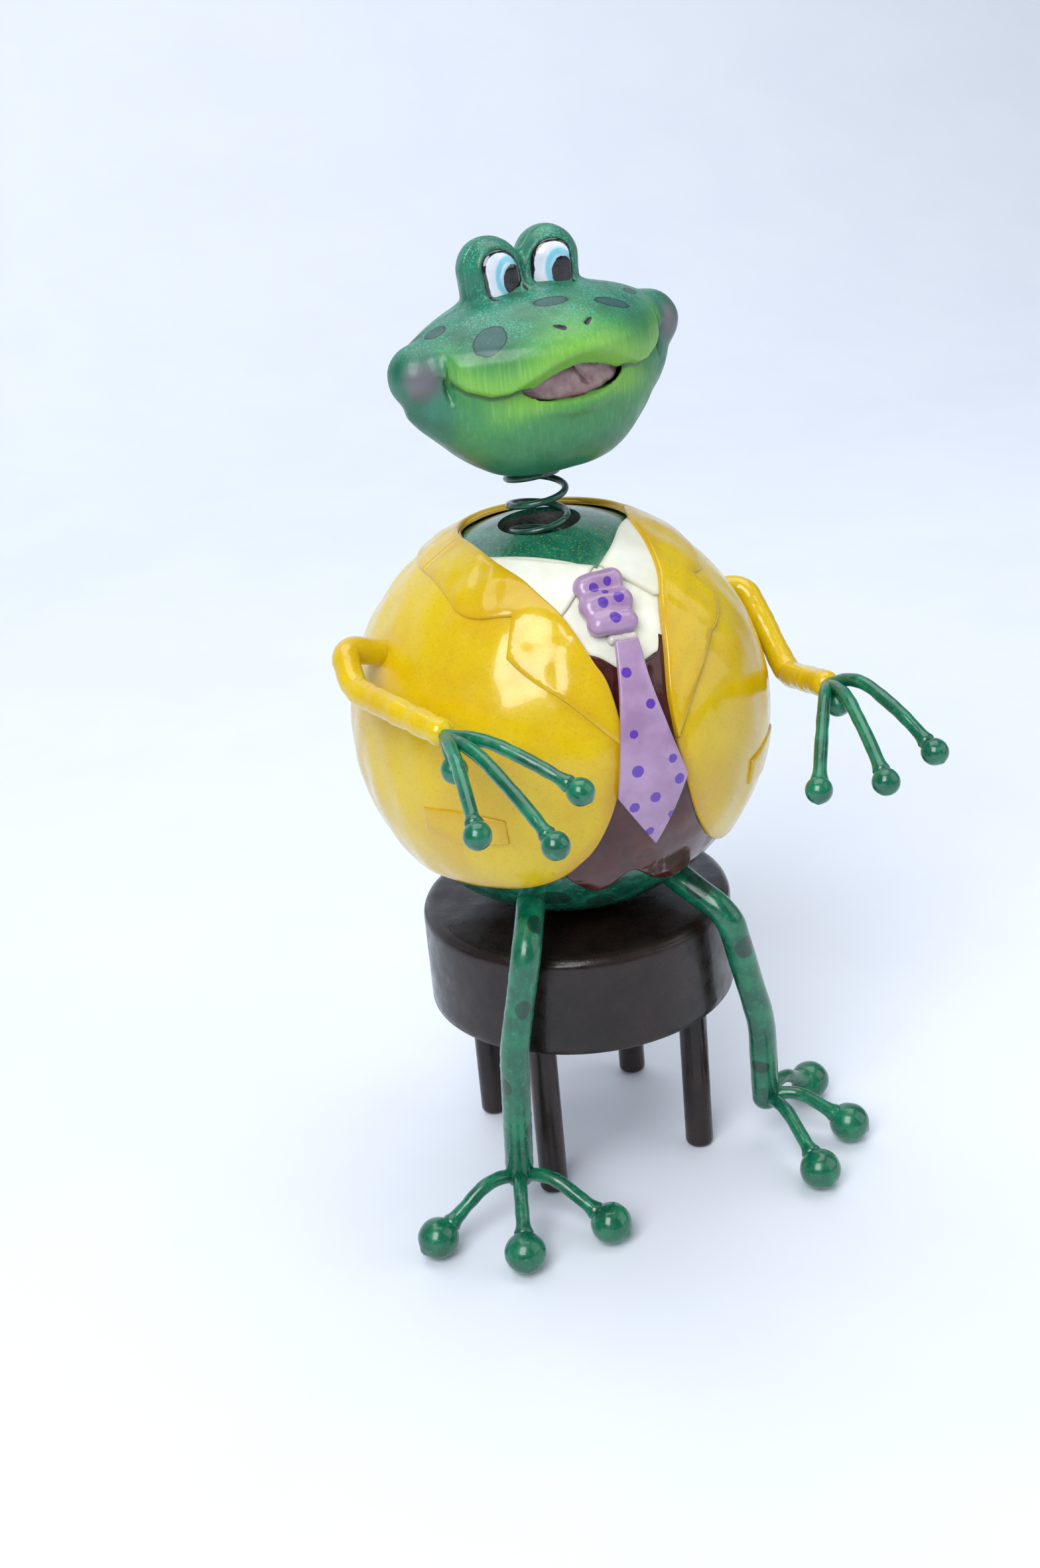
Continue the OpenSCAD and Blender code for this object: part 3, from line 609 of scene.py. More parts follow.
def sheet_on_ball(outline, middle, base_r, thick, edge=0.35, spacing=1.2, sharp=(), relief=None,
                  rim=0.45):
    """A thin layer with a rounded edge on a ball about the origin: its outside and its wall.

    outline holds [az, lat] corners, sharp the ones that aren't rounded. spacing is between the
    points inside and rim between those on the outline. relief(directions, edge distance) adds
    height in mm.
    """
    loop_d = unit(catmull(facing(*np.array(outline, float).T) * base_r, rim, True, sharp))
    uv = flatten(loop_d, middle)
    if loop_area(uv) < 0:
        loop_d, uv = loop_d[::-1], uv[::-1]
    forward = np.roll(loop_d, -1, 0) - loop_d
    backward = loop_d - np.roll(loop_d, 1, 0)
    inward = np.cross(loop_d, unit(unit(forward) + unit(backward)))
    insets = [0.0, 0.12, 0.4, 1.0]
    rings = [unit(loop_d * base_r + inward * edge * f) for f in insets]
    last = flatten(rings[-1], middle)
    cloud = ball_points(spacing, base_r)
    cloud = cloud[cloud @ facing(*middle) > -0.75]      # the map is poor on the far side
    cloud = cloud[inside(flatten(cloud, middle), last)]
    cloud = cloud[loop_distance(cloud, rings[-1], base_r) > spacing * 0.45]
    n = len(loop_d)
    flat = [Vector(p) for p in np.concatenate([last, flatten(cloud, middle)])]
    points, _, triangles, origins, _, _ = delaunay_2d_cdt(flat, [], [list(range(n))], 1, 1e-7)
    top = unflatten(np.array([(p.x, p.y) for p in points]), middle)
    ring_index = {o: i for i, os in enumerate(origins) for o in os if o < n}
    directions = np.concatenate([top, *rings[:-1], loop_d])
    distance = loop_distance(directions, loop_d, base_r)
    steps = np.clip(distance / edge, 0, 1)
    height = thick * (0.45 + 0.55 * np.sqrt(1 - (1 - steps) ** 2))
    if relief is not None:
        height = height + relief(directions, distance)
    height[-n:] = 0                                     # the wall's foot
    rows = [[ring_index[i] for i in range(n)]]
    for k in [*range(len(rings) - 2, -1, -1), len(rings) - 1]:
        rows.append([len(top) + k * n + i for i in range(n)])
    faces = [tuple(t) for t in triangles]
    for inner, outer in zip(rows, rows[1:]):
        faces += [(inner[i], outer[i], outer[(i + 1) % n], inner[(i + 1) % n]) for i in range(n)]
    verts = directions * (base_r + height)[:, None]
    return verts, faces, directions, distance


def dress(name, material, slot, *sheet_form):
    """A layer of clothing in place of its CAD node."""
    verts, faces, _, distance = sheet_on_ball(*sheet_form)
    add_piece(name, verts + BALL, faces, "figure", material, (name,), {"edge": distance})


COAT_RIGHT_EDGE = [[-36, -33], [-26, -29], [-20, -24], [-15, -18], [-10, -7], [-6.8, 5],
                   [-6.3, 15], [-8, 26], [-11, 32], [-18, 44], [-26, 51], [-34, 56], [-49, 61],
                   [-67, 65]]
COAT_LEFT_EDGE = [[62, 67], [39, 59], [28, 51], [20, 44], [15, 37], [9.5, 23], [8.5, 15],
                  [9, 5], [11.6, -6], [15.5, -16], [22, -25], [28, -29.5], [36, -33]]
NECK_LAT = 66.5


def hand_made(seed, size=9.0, amount=0.12, fade=2.5):
    """Unevenness that fades out at the edge."""
    def relief(d, distance):
        return wave(d * COAT_R, size, seed) * amount * smoothstep(0, fade, distance)
    return relief


def make_jacket():
    inner = BALL_R + 0.47
    seam = 179.75                                       # the panels almost meet at the back
    right = COAT_RIGHT_EDGE + [[-90, NECK_LAT], [-130, NECK_LAT], [-seam, NECK_LAT], [-seam, 30],
                               [-seam, 0], [-seam, -36.5], [-140, -37.5], [-105, -36.5],
                               [-71.5, -36], [-53, -35]]
    left = COAT_LEFT_EDGE + [[53, -34.5], [71.5, -35.5], [105, -36.5], [140, -37.5],
                             [seam, -36.5], [seam, 0], [seam, 30], [seam, NECK_LAT],
                             [130, NECK_LAT], [90, NECK_LAT]]
    for name, outline, az, seed in (("jacket_right_panel", right, -95, 3),
                                    ("jacket_left_panel", left, 95, 4)):
        sharp = [k for k, corner in enumerate(outline)
                 if abs(corner[0]) == seam and corner[1] in (NECK_LAT, -36.5)]
        dress(name, COAT_YELLOW, "jacket_yellow", outline, (az, 12), inner, COAT_R - inner, 0.5,
              1.2, sharp, hand_made(seed))


LAPEL_RIGHT = [[-6.5, 9.5], [-12, 15], [-17, 20], [-22, 24], [-27, 27], [-32, 30.5], [-36.5, 34],
               [-36, 45], [-49, 44], [-57, 45], [-65, 48.5], [-78, 52], [-91, 53]]
LAPEL_LEFT = [[8.7, 8.5], [12, 13], [17, 19], [25, 25.5], [31, 30], [35, 31], [42, 34], [47, 38],
              [44, 45], [52, 44.5], [57, 46], [66, 48.5], [78, 52], [91, 53]]


def make_lapels():
    """Each lapel runs up its own outer line and back down along the jacket's edge."""
    neck = [91, NECK_LAT]
    right = LAPEL_RIGHT + [[-91, NECK_LAT]] + COAT_RIGHT_EDGE[:5:-1]
    left = LAPEL_LEFT + [neck] + COAT_LEFT_EDGE[:7]
    round_the_back = range(91, 270, 12)
    collar = ([[az, 53] for az in round_the_back] + [[269, 53]]
              + [[az, NECK_LAT] for az in range(269, 90, -12)] + [neck])
    ends = len(round_the_back)
    for name, outline, middle, sharp, seed in (
            ("lapel_right", right, (-45, 42), (0, 6, 7, 12, 13), 11),
            ("lapel_left", left, (45, 42), (0, 7, 8, 13, 14), 12),
            ("jacket_collar", collar, (180, 62), (0, ends, ends + 1, len(collar) - 1), 13)):
        dress(name, TRIM_YELLOW, "jacket_yellow", outline, middle, COAT_R - 0.25, LAPEL_T + 0.2,
              0.45, 0.9, sharp, hand_made(seed, 6.0, 0.14, 2), 0.4)


def make_pockets():
    flap = [[38, -8], [50, -6], [62, -7], [63, -14], [51, -17], [38, -15]]
    for name, side in (("pocket_flap_right", -1), ("pocket_flap_left", 1)):
        outline = [[side * az, lat] for az, lat in flap]
        dress(name, TRIM_YELLOW, "jacket_yellow", outline, (side * 50, -12), COAT_R - 0.15, 0.5,
              0.4, 0.9, range(len(flap)), None, 0.4)


def make_shirt():
    front = [[-60, 64], [2.6, 58], [60, 66], [33, 46], [17, 31], [10, 31], [4, 29.5], [-2, 28.5],
             [-9, 33], [-19, 36], [-36, 50]]
    dress("shirt_front", CREAM, "shirt_white", front, (0, 45), BALL_R, LAYER_T, 0.25, 0.9,
          (0, 1, 2, 3, 10), hand_made(21, 6.0, 0.06), 0.4)
    right = [[1.4, 58.6], [-8, 53], [-15.5, 47.2], [-19.6, 43.9], [-24.5, 48.2], [-32, 53.3],
             [-47, 59.3], [-62, 63.3], [-38, 63.8], [-15, 61.5]]
    left = [[4, 58.5], [8, 55], [14, 50], [19, 45.3], [22.5, 45], [28, 49.2], [38, 56.7],
            [60, 65.2], [66, 67.8], [44, 68.3], [20, 64]]
    for name, outline, middle, sharp in (("shirt_collar_right", right, (-28, 56), (0, 3, 7)),
                                         ("shirt_collar_left", left, (32, 58), (0, 3, 8))):
        dress(name, CREAM, "shirt_white", outline, middle, BALL_R + LAYER_T, 0.55, 0.3, 0.8,
              sharp, None, 0.35)


def make_waistcoat():
    outline = [[-14, 34.5], [-9, 33], [-2, 28.6], [4, 29.6], [10, 31], [13, 35.5], [20, 30],
               [20, 0], [30, -22], [29, -30.5], [22.5, -40.5], [17, -42], [11, -40.5], [5.5, -37],
               [0, -32.5], [-3, -30.5], [-6, -32], [-9.5, -36], [-12.5, -38.3], [-15.5, -38],
               [-19.5, -35], [-24, -29.5], [-27, -24], [-20, 0], [-17, 25]]

    def drips(d, distance):
        ridge = 0.25 * smoothstep(3.0, 0.4, distance) * (0.6 + 0.4 * wave(d * BALL_R, 5, 31))
        return ridge + 0.1 * wave(d * BALL_R, 7, 32) * smoothstep(0, 2, distance)
    dress("waistcoat", WINE, "waistcoat_brown", outline, (0, -5), BALL_R, LAYER_T, 0.45, 0.9,
          (0, 5), drips, 0.4)


# az, lat and radius in mm of each painted dot
TIE_DOTS = [(-3.0, 27.4, 0.95), (1.6, 19.0, 0.9), (-4.1, 12.7, 0.8), (5.2, 4.8, 0.85),
            (-4.2, 3.6, 1.1), (6.6, -0.8, 1.0), (-0.1, -4.0, 1.0), (-5.6, -5.6, 0.95),
            (4.3, -9.8, 0.8), (-1.6, -13.2, 0.85)]


KNOT_DOTS = [(-5.4, 49.7, 0.9), (0.3, 50.6, 0.75), (-2.1, 47.9, 0.6), (-4.3, 45.1, 0.95),
             (1.6, 45.7, 0.95), (-1.9, 40.9, 1.05)]


def dot_distance(directions, dots, radius):
    """Distance in mm to the nearest dot's edge, on a ball of the given radius."""
    centres = np.array([facing(az, lat) for az, lat, _ in dots])
    away = np.linalg.norm(directions[:, None] - centres[None], axis=2) * radius
    return (away - [r for _, _, r in dots]).min(1)


def make_tie_blade():
    """A curved sheet strip with both of its faces, hung clear of the waistcoat."""
    outer = BALL[1] - corners("tie_blade")[0][1]
    thick = 0.8
    outline = [[3.5, 35], [3.4, 24], [5.9, 11], [9.3, -0.4], [0.5, -18], [-9.4, -2.8],
               [-7.4, 12.4], [-5.4, 25.8], [-3.9, 35.3]]
    verts, faces, d, distance = sheet_on_ball(outline, (0, 8), outer - thick, thick, 0.25, 0.7,
                                              (0, 3, 4, 5, 8), None, 0.35)
    n = len(verts)
    back = verts * ((outer - thick - 0.02) / np.linalg.norm(verts, axis=1))[:, None]
    back_faces = [tuple(n + i for i in f[::-1]) for f in faces]
    no_dot = np.full(n, 5.0)
    add_piece("tie_blade", np.concatenate([verts, back]) + BALL, faces + back_faces, "figure",
              LILAC, ("tie_blade",),
              {"dot": np.concatenate([dot_distance(d, TIE_DOTS, outer), no_dot]),
               "edge": np.concatenate([distance, distance])})


def smin(a, b, k):
    h = np.clip(0.5 + 0.5 * (b - a) / k, 0, 1)
    return b + (a - b) * h - k * h * (1 - h)


def smax(a, b, k):
    return -smin(-a, -b, k)


def capsule(p, a, b, r):
    """Distance to a round-ended rod."""
    a, b = np.asarray(a, float), np.asarray(b, float)
    ab = b - a
    t = np.clip(((p - a) @ ab) / (ab @ ab), 0, 1)
    return np.linalg.norm(p - a - t[..., None] * ab, axis=-1) - r


def make_tie_knot():
    """Three soft folds squeezed together, and the lump of clear glue below them."""
    folds = [(52.2, 2.5, 2.1, 0.5), (46.2, 2.8, 2.2, 0.1), (40.6, 2.5, 2.2, -0.5)]

    def field(p):
        body = None
        for lat, half, r, slope in folds:
            c = facing(-2.0, lat) * (BALL_R + 1.4)
            fold = capsule(p, c - [half, 0, slope * 0.5], c + [half, 0, slope * 0.5], r)
            body = fold if body is None else smin(body, fold, 1.5)
        body = body + 0.12 * wave(p, 5.0, 35)
        return smax(body, BALL_R + 0.3 - np.linalg.norm(p, axis=-1), 0.3)
    verts, quads = grow_skin(field, (-9, -38, 18), (7, -16, 38), 0.28)
    verts = relax(verts, quads, 2)
    face_r = BALL_R + 3.8                               # where the knot's dots lie
    add_piece("tie_knot", verts + BALL, quads, "figure", LILAC, ("tie_knot",),
              {"dot": dot_distance(unit(verts), KNOT_DOTS, face_r)})

    def glue(p):
        a, b = (facing(az, 36.4) * (BALL_R + 1.0) for az in (-3.6, 3.2))
        lump = capsule(p, a, b, 0.85) + 0.12 * wave(p, 2.5, 36)
        return smax(lump, BALL_R + 0.3 - np.linalg.norm(p, axis=-1), 0.2)
    verts, quads = grow_skin(glue, (-6, -34, 20), (6, -28, 26), 0.2)
    add_piece("tie_glue", relax(verts, quads, 2) + BALL, quads, "figure", GLUE)


# ---------------------------------------------------------------- rods, wires and their balls
def along(path):
    """The distance along a path at each of its points."""
    return np.concatenate([[0], np.cumsum(np.linalg.norm(np.diff(path, axis=0), axis=1))])


def rounded_path(bends, reach, spacing):
    """A path through bends whose inner corners are rounded."""
    p = [np.asarray(b, float) for b in bends]
    out = [p[0]]
    for i in range(1, len(p) - 1):
        a = p[i] + unit(p[i - 1] - p[i]) * reach
        b = p[i] + unit(p[i + 1] - p[i]) * reach
        t = np.linspace(0, 1, 15)[:, None]
        out += list((1 - t) ** 2 * a + 2 * t * (1 - t) * p[i] + t**2 * b)
    out.append(p[-1])
    out = np.array(out)
    length = along(out)
    at = np.linspace(0, length[-1], max(4, int(length[-1] / spacing)))
    return np.stack([np.interp(at, length, out[:, k]) for k in range(3)], -1)


WELD_REACH = 2.2


def add_rod(name, path, r, material, sides, seed, swell=0.0, rough=0.05):
    """A rod or wire with the slight unevenness of thick paint.

    swell is how much its far end thickens into the weld, as a share of r.
    """
    length = along(path)
    weld = swell * np.clip(1 - (length[-1] - length) / WELD_REACH, 0, 1) ** 2
    radii = r * (1 + weld) - rough + rough * wave(path, 3.5, seed)
    verts, faces = tube_mesh(path, radii, sides)
    add_piece(name, verts + AXIS, faces, "figure", material, (name,))


ARM_R, LEG_R, FINGER_R, TIP_R, TOE_R, TOE_BALL_R = 2.5, 2.75, 1.2, 2.35, 1.4, 3.9
RIGHT_WRIST, LEFT_WRIST = np.array([-35.1, -36.9, 107.7]), np.array([36, -37.2, 101.2])
RIGHT_TIPS = np.array([[-39.2, -60.3, 100.1], [-28.4, -65.2, 97.6], [-20.2, -56.9, 101.6]])
LEFT_TIPS = np.array([[41.8, -62, 95.6], [30.5, -65, 94], [22.5, -57, 91.4]])
RIGHT_THUMB, LEFT_THUMB = np.array([-35, -39.5, 102.6]), np.array([35.6, -41.2, 98.9])
ARMS = {
    "right": [[-31, -1.5, 110.5], [-41.5, -4.2, 114.5], [-42.5, -11.5, 109.5], [-35.2, -35, 107.8]],
    "left": [[31, 2.5, 108], [39.7, 0.2, 108.9], [40.3, -15, 95.3], [36, -36.5, 101]],
}
ANKLES = {"right": np.array([-25, -22, 9.5]), "left": np.array([28.5, -21.5, 9.5])}
LEGS = {
    "right": [[-15.8, -18.5, 66.5], [-22, -29.5, 60.5], [-25.5, -27.5, 40], ANKLES["right"]],
    "left": [[11.3, -17.3, 63.8], [18.6, -29, 56.6], [26, -26, 30], ANKLES["left"]],
}
TOES = {
    "right": [[-43.5, -25.7], [-30.8, -37.8], [-13.1, -37.2]],
    "left": [[43.5, -12.5], [42.5, -30], [29.5, -41]],
}
DIGITS = ("outer", "middle", "inner")


def make_arms():
    for seed, (side, bends) in enumerate(ARMS.items(), 5):
        add_rod("arm_" + side, rounded_path(bends, 3.2, 0.8), ARM_R, ARM_YELLOW,
                28, seed, rough=0.09)


def round_ball(centre, r, seed, towards):
    """A welded ball with a small drip of paint below, away from its wire."""
    centre, towards = np.asarray(centre, float), np.asarray(towards, float)
    drip = centre + unit((towards - centre) * [-1, -1, 0] + [0, 0, -1.5]) * r * 0.93

    def field(p):
        ball = np.linalg.norm(p - centre, axis=-1) - r + 0.04 * wave(p, 4.0, seed)
        return smin(ball, np.linalg.norm(p - drip, axis=-1) - r * 0.13, r * 0.25)
    step = r / 9
    pad = r + 3 * step
    verts, quads = grow_skin(field, centre - pad, centre + pad, step)
    return relax(verts, quads, 2), quads


def add_balls(name, centres, r, towards, seed):
    verts, faces, count = [], [], 0
    for k, (c, w) in enumerate(zip(centres, towards)):
        v, q = round_ball(c, r, seed + k, w)
        verts.append(v)
        faces.append(q + count)
        count += len(v)
    verts = np.concatenate(verts)
    verts[:, 2] = np.maximum(verts[:, 2], 0.0)
    add_piece(name, verts + AXIS, np.concatenate(faces), "figure", LIMB_GREEN,
              (name,))


def add_digit(name, bends, reach, r, clear, seed, swell):
    """A wire that ends inside the ball about its last bend; gives the point where it ends."""
    path = rounded_path(bends, reach, 0.6)
    path = path[np.linalg.norm(path - bends[-1], axis=1) > clear]
    add_rod(name, path, r, LIMB_GREEN, 18, seed, swell)
    return path[-1]


def make_hands():
    for side, wrist, tips, thumb, arches, ball_seed in (
            ("right", RIGHT_WRIST, RIGHT_TIPS, RIGHT_THUMB, (2.5, 3, 2.5), 40),
            ("left", LEFT_WRIST, LEFT_TIPS, LEFT_THUMB, (5, 4, 4), 50)):
        ends = []
        for digit, tip, arch in zip(DIGITS, tips, arches):
            rise = wrist + (tip - wrist) * 0.3 + [0, 0, arch]
            droop = wrist + (tip - wrist) * 0.75 + [0, 0, arch * 0.6]
            ends.append(add_digit("%s_%s_finger" % (side, digit), [wrist, rise, droop, tip], 4.5,
                                  FINGER_R, TIP_R * 0.8, 7, 0.35))
        path = rounded_path([wrist, (wrist + thumb) / 2, thumb], 0.8, 0.4)
        add_rod(side + "_thumb", path, FINGER_R, LIMB_GREEN, 18, 8)
        add_balls(side + "_fingertip_balls", [*tips, thumb], TIP_R, [*ends, wrist], ball_seed)


def make_legs():
    for side, seed, ball_seed in (("right", 9, 60), ("left", 10, 70)):
        add_rod("leg_" + side, rounded_path(LEGS[side], 3.8, 0.8), LEG_R, LIMB_GREEN,
                28, seed)
        ankle = ANKLES[side]
        tips = np.array([[*place, TOE_BALL_R] for place in TOES[side]])
        ends = [add_digit("%s_%s_toe" % (side, digit),
                          [ankle, ankle + (tip - ankle) * 0.35 + [0, 0, 4], tip], 4,
                          TOE_R, TOE_BALL_R * 0.85, 14, 0.4) for digit, tip in zip(DIGITS, tips)]
        add_balls(side + "_toe_balls", tips, TOE_BALL_R, ends, ball_seed)


# ---------------------------------------------------------------- the stool and the ball
def make_stool():
    edge_r, sheet, hole_r = 2.5, 1.0, 1.8
    low = SEAT_LOW[2]
    corner = (SEAT_R - edge_r, SEAT_Z - edge_r)
    outside = ([(SEAT_R - 0.25, low), (SEAT_R, low + 0.25)]
               + arc(corner, edge_r, 0, 90, 12) + [(hole_r, SEAT_Z)])
    inside_line = ([(hole_r, SEAT_Z - sheet)] + arc(corner, edge_r - sheet, 90, 0, 8)
                   + [(SEAT_R - sheet, low + 0.2), (SEAT_R - sheet + 0.2, low)])
    fine = []
    profile = np.array(outside + inside_line)
    for a, b in zip(profile, np.roll(profile, -1, 0)):
        steps = max(1, int(np.linalg.norm(b - a) / 1.2))
        fine += [a + (b - a) * k / steps for k in range(steps)]
    verts, faces = lathe(fine, 160)
    radius = np.linalg.norm(verts[:, :2], axis=1)
    dent = wave(verts, 22, 81) * 0.12 * smoothstep(2, 8, radius)
    top = verts[:, 2] > SEAT_Z - 1.2
    verts[top, 2] += np.minimum(dent[top] - 0.12, 0)
    add_piece("stool_seat", verts + AXIS, faces, "figure", STOOL_BROWN,
              ("stool_seat",))
    for place in ("front_right", "back_right", "front_left", "back_left"):
        name = "stool_leg_" + place
        lo, hi = corners(name)
        r, foot = (hi[0] - lo[0]) / 2, 1.0
        outline = ([(0.01, 0)] + arc((r - foot, foot), foot, -90, 0, 6)
                   + [(r, z) for z in np.linspace(2, hi[2] - 1, 16)]
                   + [(r, hi[2]), (0.01, hi[2])])
        verts, faces = lathe(outline, 32)
        add_piece(name, verts + [(lo[0] + hi[0]) / 2, (lo[1] + hi[1]) / 2, 0], faces, "figure",
                  STOOL_BROWN, (name,))


# ---------------------------------------------------------------- the head
HEAD_AT = np.array([0.8, -2.4, 158.0])
HEAD_YAW, HEAD_LEAN = math.radians(7), math.radians(2.5)


def head_turn():
    """Columns: the head's own x, y and z axes."""
    cy, sy, cl, sl = math.cos(HEAD_YAW), math.sin(HEAD_YAW), math.cos(HEAD_LEAN), math.sin(HEAD_LEAN)
    yaw = np.array([[cy, -sy, 0], [sy, cy, 0], [0, 0, 1]])
    lean = np.array([[cl, 0, -sl], [0, 1, 0], [sl, 0, cl]])
    return yaw @ lean


TURN = head_turn()


def from_head(p):
    return np.asarray(p) @ TURN.T + HEAD_AT + AXIS


SEAM_Y, MIDDLE_Y = 3.5, 1
# z, half width, reach forward and back of MIDDLE_Y, front squareness
SNOUT_LEVELS = np.array([
    [-7.0, 23.6, 17.4, 13.0, 1.43], [0.0, 24.0, 17.7, 13.6, 1.43], [2.0, 24.0, 17.9, 13.8, 1.43],
    [4.5, 23.6, 17.9, 13.8, 1.43], [6.5, 22.3, 16.6, 13.5, 1.42], [8.0, 19.8, 14.8, 13.0, 1.42],
    [10.0, 15.8, 11.9, 12.2, 1.5], [11.5, 11.0, 8.6, 10.6, 1.7], [12.6, 7.0, 5.6, 8.4, 1.9],
    [13.2, 3.0, 3.0, 4.4, 2.0]])
JAW_LEVELS = np.array([
    [-18.0, 8.2, 7.2, 8.6, 2.0], [-17.0, 10.2, 8.9, 10.2, 2.0], [-15.3, 12.8, 10.8, 11.3, 1.95],
    [-13.0, 15.6, 12.1, 12.2, 1.85], [-10.0, 18.7, 13.1, 12.8, 1.7], [-7.0, 21.6, 13.6, 13.3, 1.6],
    [-4.5, 23.6, 13.8, 13.6, 1.53], [-2.0, 24.2, 13.8, 13.7, 1.5], [0.0, 23.8, 13.5, 13.6, 1.5],
    [3.0, 22.6, 12.8, 13.2, 1.5], [7.0, 20.0, 10.0, 12.0, 1.5]])


def smoothed(levels, blur=0.7):
    """The same table at close levels with its corners rounded off."""
    z = np.arange(levels[0, 0], levels[-1, 0] + 0.01, 0.2)
    weight = np.exp(-((z[:, None] - z[None]) / blur) ** 2)
    out = [z]
    for k in range(1, levels.shape[1]):
        v = np.interp(z, levels[:, 0], levels[:, k])
        reach = np.minimum(np.minimum(z - z[0], z[-1] - z) / (2 * blur), 1)
        out.append(v + reach * ((weight @ v) / weight.sum(1) - v))
    return np.stack(out, 1)


SNOUT, JAW = smoothed(SNOUT_LEVELS), smoothed(JAW_LEVELS)
BACK_SQUARE = 1.85
DOME_X, DOME_Y, DOME_R, DOME_TOP = 5.6, 4.3, 5.6, 22.3
CHEEK_R = 5.4
LIP = np.array([[0, 4.1], [3.5, 3.5], [5.6, 2.8], [7.3, 2.0], [9.2, 1.0], [12.4, -0.9],
                [15.3, -1.1], [18.6, 0.1], [20.0, 1.4], [22.0, 3.0]])
CREASE_X = 20.6


def soft_abs(x):
    """How far x is from 0, without a corner at 0, so that no ridge runs down the face."""
    return np.sqrt(x * x + 6.0) - math.sqrt(6.0)


def loft(p, levels):
    """A rough distance to stacked outlines."""
    x, y, z = p[..., 0], p[..., 1], p[..., 2]
    w, front, back, square = (np.interp(z, levels[:, 0], levels[:, k]) for k in (1, 2, 3, 4))
    ahead = y < MIDDLE_Y
    reach = np.where(ahead, front, back)
    e = np.where(ahead, square, BACK_SQUARE)
    u, v = np.abs(soft_abs(x)) / w, np.abs(y - MIDDLE_Y) / reach
    size = (u**e + v**e) ** (1 / e)
    round_distance = (size - 1) * np.minimum(w, reach) * 0.8
    flat = np.maximum(z - levels[-1, 0], levels[0, 0] - z)
    return smax(round_distance, flat, 1.0)


def lip_height(x):
    return np.interp(np.sqrt(x * x + 1.5), LIP[:, 0], LIP[:, 1])


def brow_dome(p, side):
    """Distance to one brow: a round-topped post that leans outwards a little."""
    up = np.clip(p[..., 2], 6, DOME_TOP - DOME_R)
    lean = (up - 12) * 0.02 * side
    centre_line = np.stack([side * DOME_X + lean, np.full(up.shape, DOME_Y), up], -1)
    return np.linalg.norm(p - centre_line, axis=-1) - DOME_R


def cheek(p, side):
    return capsule(p, [side * 16, 1.8, 1.2], [side * 23.05, 1.0, 2.4], CHEEK_R)


def nostril(p, side, r):
    return capsule(p, [side * 2.2, -13.6, 8.0], [side * 3.6, -13.0, 8.8], r)


def eye_plan(x, z, side):
    """Distance in the eye's own flat plan to its arched outline, rounder at the bottom corners."""
    middle_x = -5.6 if side < 0 else 4.3
    base, top, half = 12.4, 20.2, 3.35
    dx = x - middle_x - 0.1 * side * (z - 16)
    arch = np.sqrt(dx * dx + np.maximum(z - top + half, 0) ** 2) - half
    return smax(arch, base - z, 0.8)


def crest_y(x):
    """How far forward the lip's crest is."""
    half, reach, square = 24, 17.8, 1.43
    t = np.clip(soft_abs(x), 0, half - 0.1) / half
    return MIDDLE_Y - reach * (1 - t**square) ** (1 / square)


MOUTH_HALF, MOUTH_LOW, MOUTH_CORNER = 10.0, -4.2, -1.0


def mouth_plan(x, z):
    """Negative inside the opening: a crescent that hangs below the upper lip."""
    t = np.clip(np.abs(x) / MOUTH_HALF, 0, 1)
    low = MOUTH_CORNER + (MOUTH_LOW - MOUTH_CORNER) * np.sqrt(1 - t**2.0)
    return np.maximum(np.maximum(z - 4, low - z), np.abs(x) - MOUTH_HALF)


def lower_lip(p):
    """A soft rim round the opening's lower edge."""
    x, y, z = p[..., 0], p[..., 1], p[..., 2]
    t = np.clip(np.abs(x) / (MOUTH_HALF + 2), 0, 1)
    edge = MOUTH_CORNER - 0.8 + (MOUTH_LOW - 0.7 - MOUTH_CORNER) * np.sqrt(1 - t**2.0)
    front = -12.25 + 0.03 * x * x
    rim = np.sqrt((z - edge) ** 2 + (y - front) ** 2) - 1.25
    return np.maximum(rim, np.abs(x) - MOUTH_HALF - 2)


def under_lip(x, y, z):
    """The snout overhangs: its underside slopes from the lip's crest back to the jaw."""
    slope = 0.84 - 0.5 * smoothstep(7.5, 12.5, np.abs(x))
    return (lip_height(x) + 0.2 - slope * np.maximum(y - crest_y(x), -1) - z) * 0.77


